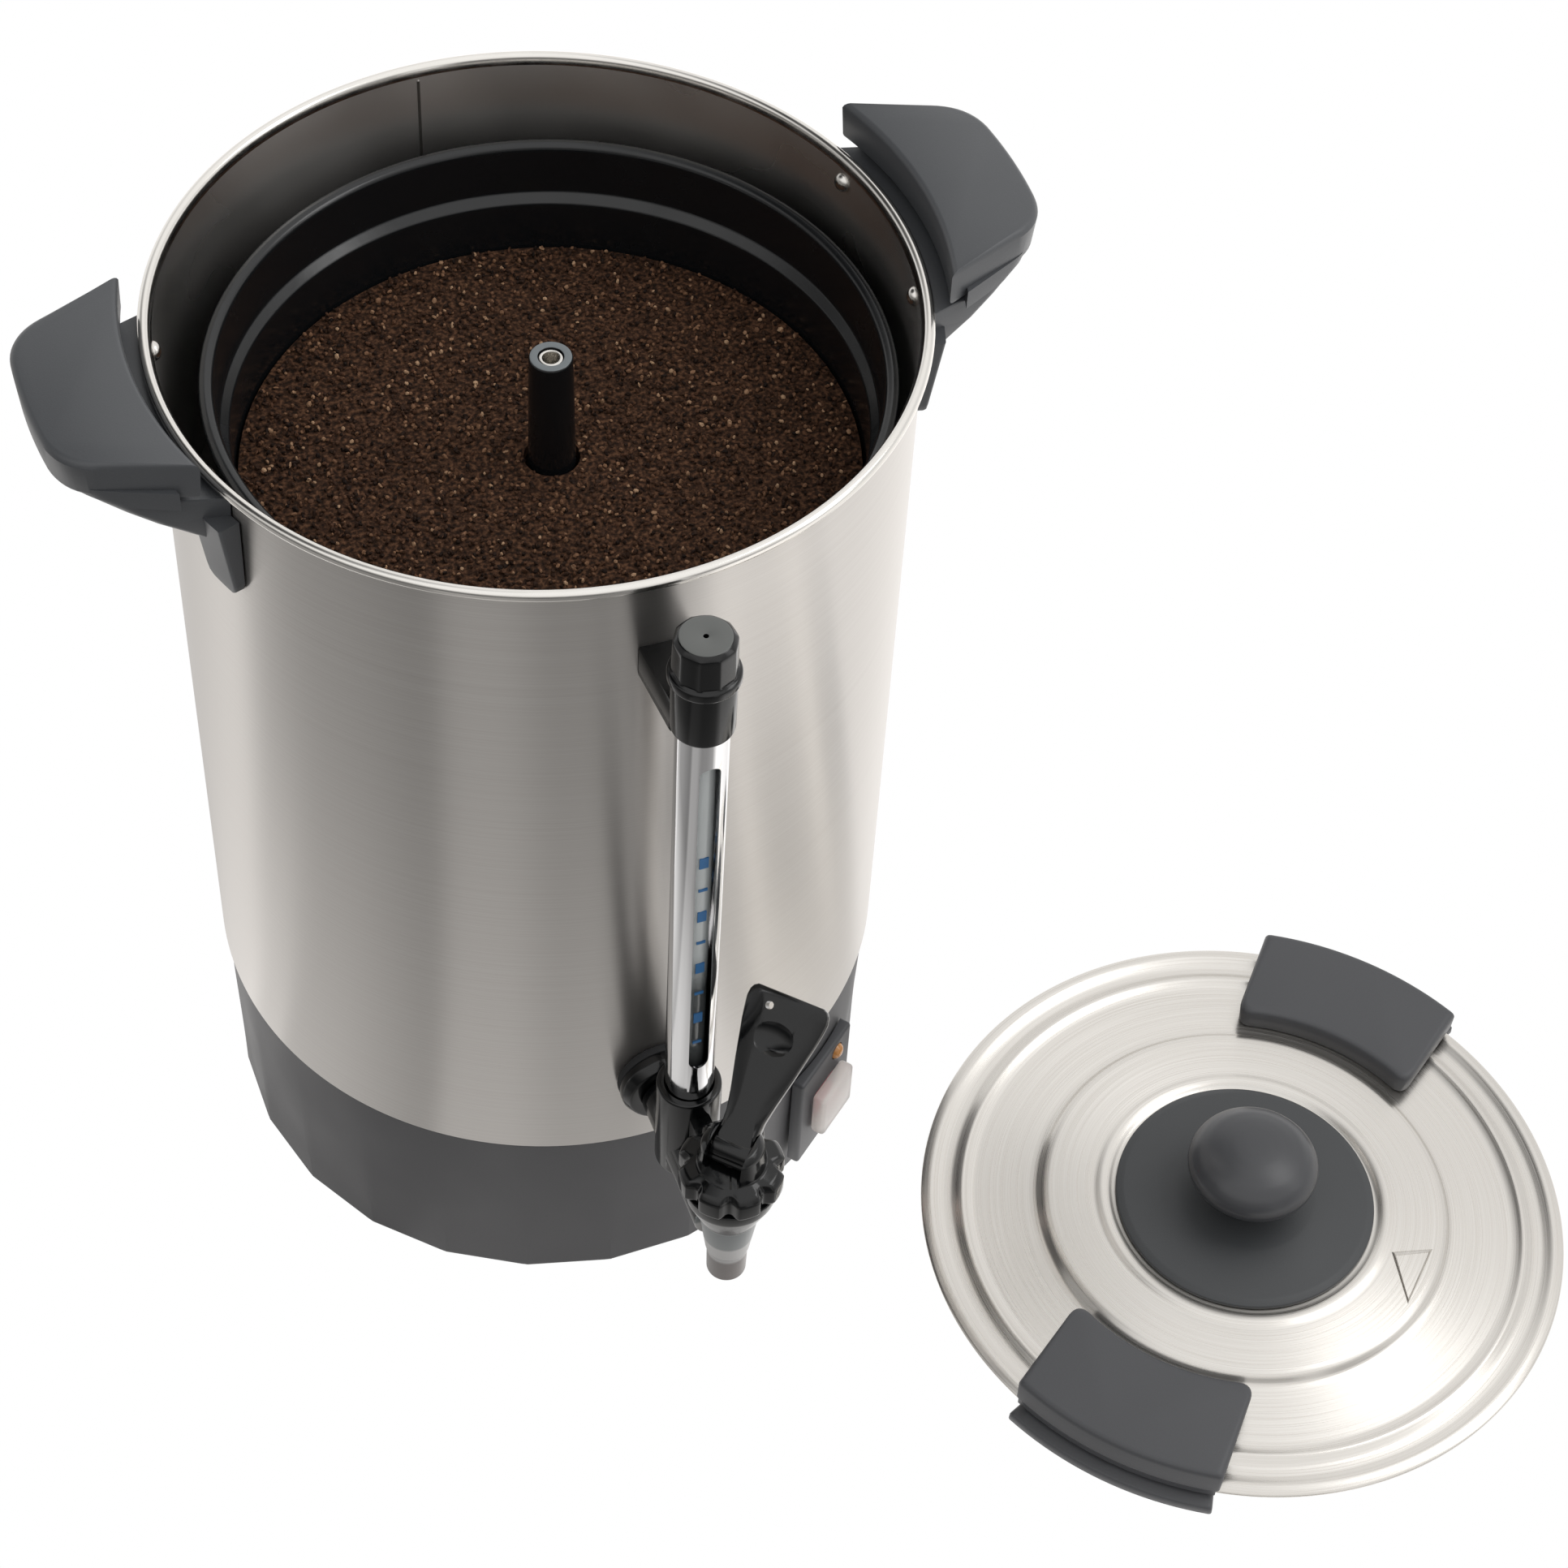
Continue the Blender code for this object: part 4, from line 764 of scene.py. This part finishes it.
blade = loft("faucet_lever_blade", [
    (height, lever_outline(width, thick, slope)) for height, width, thick, slope in (
        (-4.6, 10.6, 3.0, 0.0), (-4.0, 11.6, 4.4, 0.05), (0, 11.9, 6.0, 0.2), (6, 12.0, 6.4, 0.5),
        (11, 12.4, 6.4, 0.8), (17, 14.8, 6.2, 1.0), (22, 17.2, 5.9, 1.0), (27, 19.6, 5.6, 1.0),
        (33, 22.2, 5.4, 1.0), (38, 24.4, 5.2, 1.0), (42, 25.8, 5.1, 1.0), (45.4, 26.6, 5.0, 0.9),
        (47.6, 26.0, 4.8, 0.7), (49.0, 24.4, 4.2, 0.4), (49.8, 21.8, 3.0, 0.1))])
hub = turned("hub", rounded([(0, 6.0), (4.0, 6.0), (4.0, -6.0), (0, -6.0)], 0.5), 48, (0, 0, 0), on_y)
carved(blade, [hub], "UNION")
carved(blade, [box("hollow", (6, 12, 23), (4.6, 0, 32.5), edge=2)])
thumb = turned("thumb", [(0, 1)] + [(math.sin(deg(a)),
    math.cos(deg(a))) for a in range(10, 180, 10)] + [(0, -1)], 48)
thumb.data.transform(Matrix.Translation((-0.0054, 0.0002, 0.0360)) @ Matrix.Diagonal((4.4, 8.8, 6.6, 1)))
carved(blade, [thumb])
carved(blade, [drill(1.3, 6, -6, 24, (0, 5, 45),
                      Matrix.Rotation(deg(90), 4, "Y"))])
carved(blade, [drill(1.6, 20, -20, 24, (0, 0, 0), on_y)])
blade.data.transform(lever_place)
finished(blade, black, "lever", ["faucet_lever"])


# ------------ switch
# Rocker switch behind a soft clear splash boot, and an amber lamp above it, on a grained panel
# that is clipped into the base.
SWITCH_TURN = deg(-51.5)
out = polar(1, SWITCH_TURN)
over = Vector((-out.y, out.x, 0))
SWITCH_HEIGHT = Vector((0, 0, 33.5))
centre = out * 114 + SWITCH_HEIGHT
panel = box("switch_panel_moulding", (9, 33, 46), centre - out * 4.5, SWITCH_TURN, 1.2)
carved(panel, [drill(110.95, 120, -80, 256)])
carved(panel, [box("window", (24, 14.4, 16.4), centre, SWITCH_TURN)])
lens_at = centre + over * 7 + Vector((0, 0, 17.2))
out_turn = out.to_track_quat("Z", "Y").to_matrix().to_4x4()
carved(panel, [drill(3.3, 8, -8, 40, lens_at, out_turn)])
panel_plastic = moulded_grain("abs_panel_charcoal", "#3a3b3e", 0.45)
finished(panel, panel_plastic, "urn", ["switch_panel"])

amber = uneven("amber_polycarbonate", "#c98a45", 0.08, 0.2, 300, IOR=1.58, Transmission_Weight=0.3)
lens_profile = rounded([(0, 1.9), (1.4, 1.7), (2.4, 1.1), (3.0, 0), (3.0, -2.3), (0, -2.3)], 0.3)
lens = turned("indicator_lens_dome", lens_profile, 40, lens_at, out_turn)
finished(lens, amber, "urn", ["indicator_lens"])

boot = uneven("soft_pvc_clear", "#efebe8", 0.32, 0.42, 800, IOR=1.25, Transmission_Weight=0.62)
cover = box("switch_boot", (5.4, 20, 20), centre + out * 3.0, SWITCH_TURN, 1.5, 5)
carved(cover, [box("inside", (5.4, 17.6, 17.6), centre + out * 1.4, SWITCH_TURN, 0.9)])
finished(cover, boot, "urn", ["switch_cover"])

red = uneven("polycarbonate_red", "#d4354a", 0.2, 0.34, 500, IOR=1.58)
rocker = bmesh.new()
face_of_rocker = rounded([(-3.4, -5.2), (2.1, -7.2), (1.0, 0), (2.1, 7.2), (-3.4, 5.2)], 0.6, 3, True)
sides = [[rocker.verts.new((x / 1000, y / 1000, z / 1000)) for x, z in face_of_rocker] for y in (-6.7, 6.7)]
rocker.faces.new(sides[0])
rocker.faces.new(sides[1][::-1])
for i in range(len(face_of_rocker)):
    j = (i + 1) % len(face_of_rocker)
    rocker.faces.new((sides[0][i], sides[1][i], sides[1][j], sides[0][j]))
rocker_place = (Matrix.Translation((out * 112 + SWITCH_HEIGHT) / 1000) @ Matrix.Rotation(SWITCH_TURN, 4, "Z")
                @ Matrix.Rotation(deg(-7), 4, "Y"))
bmesh.ops.transform(rocker, verts=rocker.verts, matrix=rocker_place)
finished(linked("switch_rocker_red", rocker), red, "rocker", ["switch_rocker"])


# ------------ pump tube, basket and sleeve
# The pump stands in the heating well a little off centre. The basket, black enamelled steel,
# stands on the tube's ledge and its sleeve slips over the tube.
PUMP = (3.1, -1.2, 0)
riser = hoop("pump_riser_and_bell", [(6.2, 242.2), (8.6, 242.2), (8.6, 240.6), (3.6, 238), (3.6, 91.5),
    (15, 84.4), (21.6, 71.9), (20.6, 71.9), (14.4, 83.2), (2.6, 90.6), (2.6, 325.4), (3.6, 325.4),
    (3.6, 242.2)], 0.3, 2, 72, PUMP)
finished(riser, polished, "pump", ["pump_tube"])

enamel, tree, shader = surface("black_enamel_on_steel", "#121416", 0.2, IOR=1.5)
bumped(tree, shader, pattern(tree, 420), 0.00008, 0.3)
vary(tree, shader, "Roughness", pattern(tree, 60), 0.16, 0.3)
bowl = [(98.6, 320.4), (99.4, 321.6), (101.2, 322.2), (102.8, 321.4), (103.2, 319.8), (102.4, 318.2),
        (99.8, 317.6), (99.4, 316), (99.4, 303.2), (96.3, 300.6), (95.7, 247), (93, 244.4), (8.4, 244.4),
        (8.4, 245.4), (92.6, 245.4), (94.7, 247.6), (95.3, 301.2), (98.4, 303.8)]
basket = hoop("basket_bowl", bowl, 0.7, 3, 192, PUMP)
finished(basket, enamel, "basket", ["basket"])
sleeve = hoop("basket_centre_sleeve", [(3.9, 326), (6.2, 326), (6.6, 325.4), (7.9, 246), (8.1, 244.2),
    (11.5, 244.1), (11.5, 242.6), (3.9, 242.6)], 0.4, 3, 72, PUMP)
finished(sleeve, enamel, "basket", ["basket_sleeve"])
# The sleeve's top end is painted lighter grey: a painted highlight on the black enamel.
sleeve_top_painted_highlight = uneven("enamel_end_painted_highlight", "#6b7174", 0.32, 0.5, 1200)
coated(sleeve, sleeve_top_painted_highlight, lambda face: face.center.z > 0.32585)


# ------------ ground coffee
# A levelled bed of medium-ground coffee: a low bumpy bed with loose grains of 1 to 2 mm on
# it, dark roast with lighter flecks of husk.
coffee_bed, tree, shader = surface("ground_coffee_bed", "#2e2018", 0.95, Specular_IOR_Level=0.15)
lumps = pattern(tree, 700, 4.0)
tinted(tree, shader, lumps, [(0.35, "#1e140e"), (0.5, "#3a271c"), (0.66, "#5e4230")])
bumped(tree, shader, lumps, 0.0008, 0.9)
bed_profile = [(94.2, 284.0), (94.0, 248.4), (91.8, 245.8), (8.8, 245.8), (8.6, 284.6), (30, 284.2),
    (62, 284.3)]
bed = turned("coffee_bed", bed_profile, 128, PUMP, ring=True)
finished(bed, coffee_bed, "basket", ["coffee_grounds"])

grain_matter, tree, shader = surface("roast_coffee_grain", "#3a2618", 0.75, Specular_IOR_Level=0.2)
shade_of_grain = add(tree, "ShaderNodeAttribute", {"attribute_name": "grain_tone"}).outputs["Fac"]
tinted(tree, shader, shade_of_grain, [
    (0.0, "#1a100b"), (0.45, "#3a261a"), (0.75, "#583c2b"), (0.93, "#86644b"), (1.0, "#b39274")])
bumped(tree, shader, pattern(tree, 3000, 2.0), 0.0002, 0.5)

tree, given, result = new_tree("scattered_grains", [
    ("Outer radius", "Float"), ("Density", "Float"), ("Centre", "Vector"),
    ("Sleeve radius", "Float"), ("Grain", "Float"), ("Seed", "Int"),
    ("Finish", "Material")])
disc = add(tree, "GeometryNodeMeshCircle", {"Vertices": 96, "fill_type": "TRIANGLE_FAN"},
           {"Radius": given["Outer radius"]}).outputs["Mesh"]
scatter = add(tree, "GeometryNodeDistributePointsOnFaces", {"distribute_method": "RANDOM"},
              {"Mesh": disc, "Density": given["Density"], "Seed": given["Seed"]})
spot = add(tree, "GeometryNodeInputPosition").outputs[0]
away = calc(tree, "LENGTH", spot, kind="VectorMath")
near = add(tree, "FunctionNodeCompare", {"data_type": "FLOAT", "operation": "LESS_THAN"},
           {"A": away, "B": given["Sleeve radius"]}).outputs[0]
kept = add(tree, "GeometryNodeDeleteGeometry", {"domain": "POINT"},
           {"Geometry": scatter.outputs["Points"], "Selection": near}).outputs[0]
jitter = add(tree, "FunctionNodeRandomValue", {"data_type": "FLOAT"}, {"Seed": given["Seed"]})
jitter.inputs[2].default_value = -0.0002
jitter.inputs[3].default_value = 0.0005
rise = add(tree, "ShaderNodeCombineXYZ", {}, {"Z": jitter.outputs[1]}).outputs[0]
put = calc(tree, "ADD", rise, given["Centre"], kind="VectorMath")
moved = add(tree, "GeometryNodeSetPosition", {}, {"Geometry": kept, "Offset": put}).outputs[0]
grain = add(tree, "GeometryNodeMeshIcoSphere", {"Subdivisions": 1},
    {"Radius": given["Grain"]}).outputs["Mesh"]
turns = add(tree, "FunctionNodeRandomValue", {"data_type": "FLOAT_VECTOR", "Seed": 5})
turns.inputs[0].default_value = (0, 0, 0)
turns.inputs[1].default_value = (6.28, 6.28, 6.28)
spin = add(tree, "FunctionNodeEulerToRotation", {}, {0: turns.outputs[0]}).outputs[0]
sizes = add(tree, "FunctionNodeRandomValue", {"data_type": "FLOAT_VECTOR", "Seed": 9})
sizes.inputs[0].default_value = (0.5, 0.5, 0.4)
sizes.inputs[1].default_value = (1.35, 1.0, 0.8)
grains = add(tree, "GeometryNodeInstanceOnPoints", {}, {"Points": moved, "Instance": grain, "Rotation": spin,
                                                        "Scale": sizes.outputs[0]})
tone = add(tree, "FunctionNodeRandomValue", {"data_type": "FLOAT", "Seed": 21})
marked = add(tree, "GeometryNodeStoreNamedAttribute",
             {"data_type": "FLOAT", "domain": "INSTANCE", "Name": "grain_tone"},
             {"Geometry": grains.outputs[0], "Value": tone.outputs[1]}).outputs[0]
realized(tree, marked, given["Finish"], result)
loose = grown("coffee_loose_grains", tree, {
    "Outer radius": 0.0935, "Density": 230000.0, "Centre": (0.0031, -0.0012, 0.2846), "Sleeve radius": 0.0088,
    "Grain": 0.0009, "Seed": 3, "Finish": grain_matter})
finished(loose, grain_matter, "basket", [], 20)


# ------------ lid pan
# Pressed from 0.8 mm stainless and brushed in circles on a lathe, with a stiffening step, a
# bead near the edge and a raised arrow outline that shows which way it locks.
LID = Vector((199.6, -166.1, 0))
LID_TURN = deg(41.3)
lathe_brushed, tree, shader = surface("stainless_304_lathe_brushed", "#d2cec9", 0.3, 1.0, Anisotropic=0.75,
                                      Anisotropic_Rotation=0.25)
at = add(tree, "ShaderNodeTexCoord").outputs["Object"]
from_centre = calc(tree, "SUBTRACT", at, LID / 1000, kind="VectorMath")
flat = calc(tree, "MULTIPLY", from_centre, (1, 1, 0), kind="VectorMath")
radius_at = calc(tree, "LENGTH", flat, kind="VectorMath")
ring_lift = add(tree, "ShaderNodeCombineXYZ", {}, {"Z": calc(tree, "MULTIPLY", radius_at, 2600.0)}).outputs[0]
ring_at = calc(tree, "ADD", calc(tree, "SCALE", flat, 14.0, kind="VectorMath"), ring_lift, kind="VectorMath")
lines = add(tree, "ShaderNodeTexNoise", {"Scale": 1.0, "Detail": 4.0}, {"Vector": ring_at}).outputs["Fac"]
vary(tree, shader, "Roughness", lines, 0.24, 0.36)
bumped(tree, shader, lines, 0.00002, 0.35)
tinted(tree, shader, lines, [(0.3, "#c9c5bf"), (0.7, "#dad7d2")])
brushed_round(tree, shader)

pan_top = [(2.4, 12.6), (46.4, 12.6), (48.0, 13.6), (50.2, 13.9), (52.4, 13.2), (54.4, 13.2), (68.8, 12.4),
           (70.6, 11.6), (72.4, 9.4), (74.4, 9.0), (94.4, 7.2), (96.4, 7.6), (98.3, 8.5), (100.2, 7.4),
           (102.0, 6.4), (105.2, 6.3), (107.2, 6.9), (108.8, 7.5), (110.4, 7.3), (112.2, 6.6), (112.8, 6.0),
           (112.2, 5.5)]
pan_under = [(110.2, 6.0), (108.4, 6.4), (105.0, 5.2), (101.4, 5.3), (98.2, 7.2), (94.8, 6.1), (73.4, 7.8),
             (71.4, 8.4), (69.4, 10.6), (68.0, 11.2), (53.0, 12.0), (50.2, 12.7), (47.6, 12.2), (45.6, 11.3),
             (2.4, 11.3)]
pan = hoop("lid_pan_pressing", pan_top + pan_under, 0.8, 3, 224, LID)
finished(pan, lathe_brushed, "lid", ["lid_pan"], 40)

corners = [polar(112.8 * r, deg(a)) for r, a in ((0.591, -58.3), (0.484, -44.6), (0.587, -38.5))]
middle = sum(corners, Vector()) / 3
data = bmesh.new()
strips = []
for inward, z in ((-0.8, 11.0), (-0.55, 13.3), (0.0, 13.9), (0.55, 13.3), (0.8, 11.0)):
    ring_points = []
    for corner in corners:
        reach = (corner - middle).length
        spot = middle + (corner - middle) * ((reach - inward * 1.7) / reach)
        drop = (spot.length - 54.4) / 14.4 * 0.8
        ring_points.append(data.verts.new((spot + Vector((0, 0, z - drop)) + LID) / 1000))
    strips.append(ring_points)
for a, b in zip(strips, strips[1:] + strips[:1]):
    for i in range(3):
        j = (i + 1) % 3
        data.faces.new((a[i], a[j], b[j], b[i]))
arrow = linked("lid_lock_arrow", data)
finished(arrow, lathe_brushed, "lid", [])


# ------------ lid tabs
# Two charcoal phenolic clamps that grip the pan's edge: an upper pad with soft corners and a
# lower clip under it, the gap between them taking the handle's catch.
def tab_outline(r_in, r_out, half_in, half_out, corner=6.5, inset=0.0):
    """The same with its two soft corners at the inner edge."""
    r_in, r_out = r_in + inset, r_out - inset
    half_in, half_out = deg(half_in) - inset / r_in, deg(half_out) - inset / r_out
    tip, far = polar(r_in, half_in).xy, polar(r_out, half_out).xy
    start = tip + (far - tip).normalized() * corner
    inner = half_in - corner / r_in
    end = polar(r_in, inner).xy
    points = [start.lerp(tip, i / 8).lerp(tip.lerp(end, i / 8), i / 8) for i in range(9)]
    points += [polar(r_in, inner * (1 - i / 10)).xy for i in range(1, 10)]
    small = 1.2
    edge = far + (tip - far).normalized() * small
    shoulder = polar(r_out, half_out - small / r_out).xy
    nose = [shoulder.lerp(far, i / 4).lerp(far.lerp(edge, i / 4), i / 4) for i in range(5)]
    outer = [polar(r_out, (half_out - small / r_out) * i / 10).xy for i in range(10)]
    upper = outer + nose
    lower = [Vector((p.x, -p.y)) for p in reversed(upper[1:])]
    return points + [polar(r_in, 0).xy] + [Vector((p.x, -p.y)) for p in reversed(points)] + lower + upper


tab_plastic = moulded_grain("phenolic_tab_charcoal", "#434447", 0.45, 2400, 0.05)
for label, turn in (("a", LID_TURN), ("b", LID_TURN + math.pi)):
    edge = ((0.0, 16.4), (0.25, 17.2), (0.7, 17.9), (1.3, 18.25), (2.2, 18.4))
    upper = loft("lid_tab_%s_pad" % label, [
        (9.0, tab_outline(76.6, 114.4, 25.0, 18.9, inset=0.5)),
        (9.6, tab_outline(76.6, 114.4, 25.0, 18.9))]
        + [(z, tab_outline(76.3, 113.9, 25.4, 19.1, inset=inset)) for inset, z in edge], LID, turn)
    skirt = loft("skirt", [(6.6, ring_sector(113.2, 114.2, 18.4, 18.4, 0.3)),
                           (10.0, ring_sector(113.2, 114.3, 18.4, 18.4, 0.3))], LID, turn)
    carved(upper, [skirt], "UNION")
    finished(upper, tab_plastic, "lid", ["lid_tab_%s_top" % label], 40)
    lower = loft("lid_tab_%s_jaw" % label, [
        (z, tab_outline(98.4, 118.4, 18.4, 18.4, 3, inset))
        for z, inset in ((0.0, 1.2), (0.4, 0.5), (1.2, 0.0), (3.4, 0.1), (4.2, 0.5), (4.6, 1.1))], LID, turn)
    finished(lower, tab_plastic, "lid", ["lid_tab_%s_clip" % label], 40)


# ------------ lid disc and knob
# A heat disc and a mushroom knob, satin black phenolic, held by one screw from below.
disc_plastic = moulded_grain("phenolic_disc_charcoal", "#3a3c3e", 0.48, 2600, 0.05)
knob_plastic = moulded_grain("phenolic_knob_satin", "#3c3d40", 0.3, 3000, 0.03)
disc = hoop("lid_heat_disc", [(2.4, 17.3), (24, 16.9), (42.6, 15.3), (45.0, 14.4), (45.2, 13.6), (45.0, 12.9),
    (2.4, 12.9)], 0.5, 3, 144, LID)
finished(disc, disc_plastic, "lid", ["lid_disc"])
mushroom = [(0, 45.6), (4, 45.5), (8, 45.0), (12, 44.0), (16.2, 42.4), (19.6, 40.0), (21.8, 37.2),
    (22.7, 34.4), (22.2, 31.8), (20.2, 29.4), (16.8, 27.4), (13.4, 25.8), (11.2, 23.8), (10.4, 21.4),
    (10.6, 19.4), (11.6, 17.8), (0, 17.8)]
knob = turned("lid_knob_mushroom", rounded(mushroom, 1.4, 4), 112, LID)
finished(knob, knob_plastic, "lid", ["lid_knob"], 50)


# ------------ pieces kept as they are
# Fixings, seals, heaters and controls whose CAD shape is already right get the finish their
# real ones have.
dark_steel = uneven("oxidised_heater_steel", "#4a4643", 0.4, 0.65, 300, 1.0)
brass = uneven("turned_brass", "#b08d4c", 0.22, 0.4, 900, 1.0)
by_slot = {"bright_steel": polished, "rubber": rubber, "charcoal_plastic": base_plastic,
    "dark_steel": dark_steel, "brass": brass, "brushed_steel": brushed_wall, "gloss_black_plastic": black,
    "chrome": chrome, "gauge_glass": glass, "red_plastic": red, "amber_plastic": amber, "clear_cover": boot,
    "grey_plastic": grey_plastic_painted_bands, "dark_basket": enamel, "ground_coffee": coffee_bed}
for row in frame["record"]["subparts"]:
    node = frame["nodes"][row["node"]]
    node.data.materials.clear()
    node.data.materials.append(by_slot[row["material_slot"]])
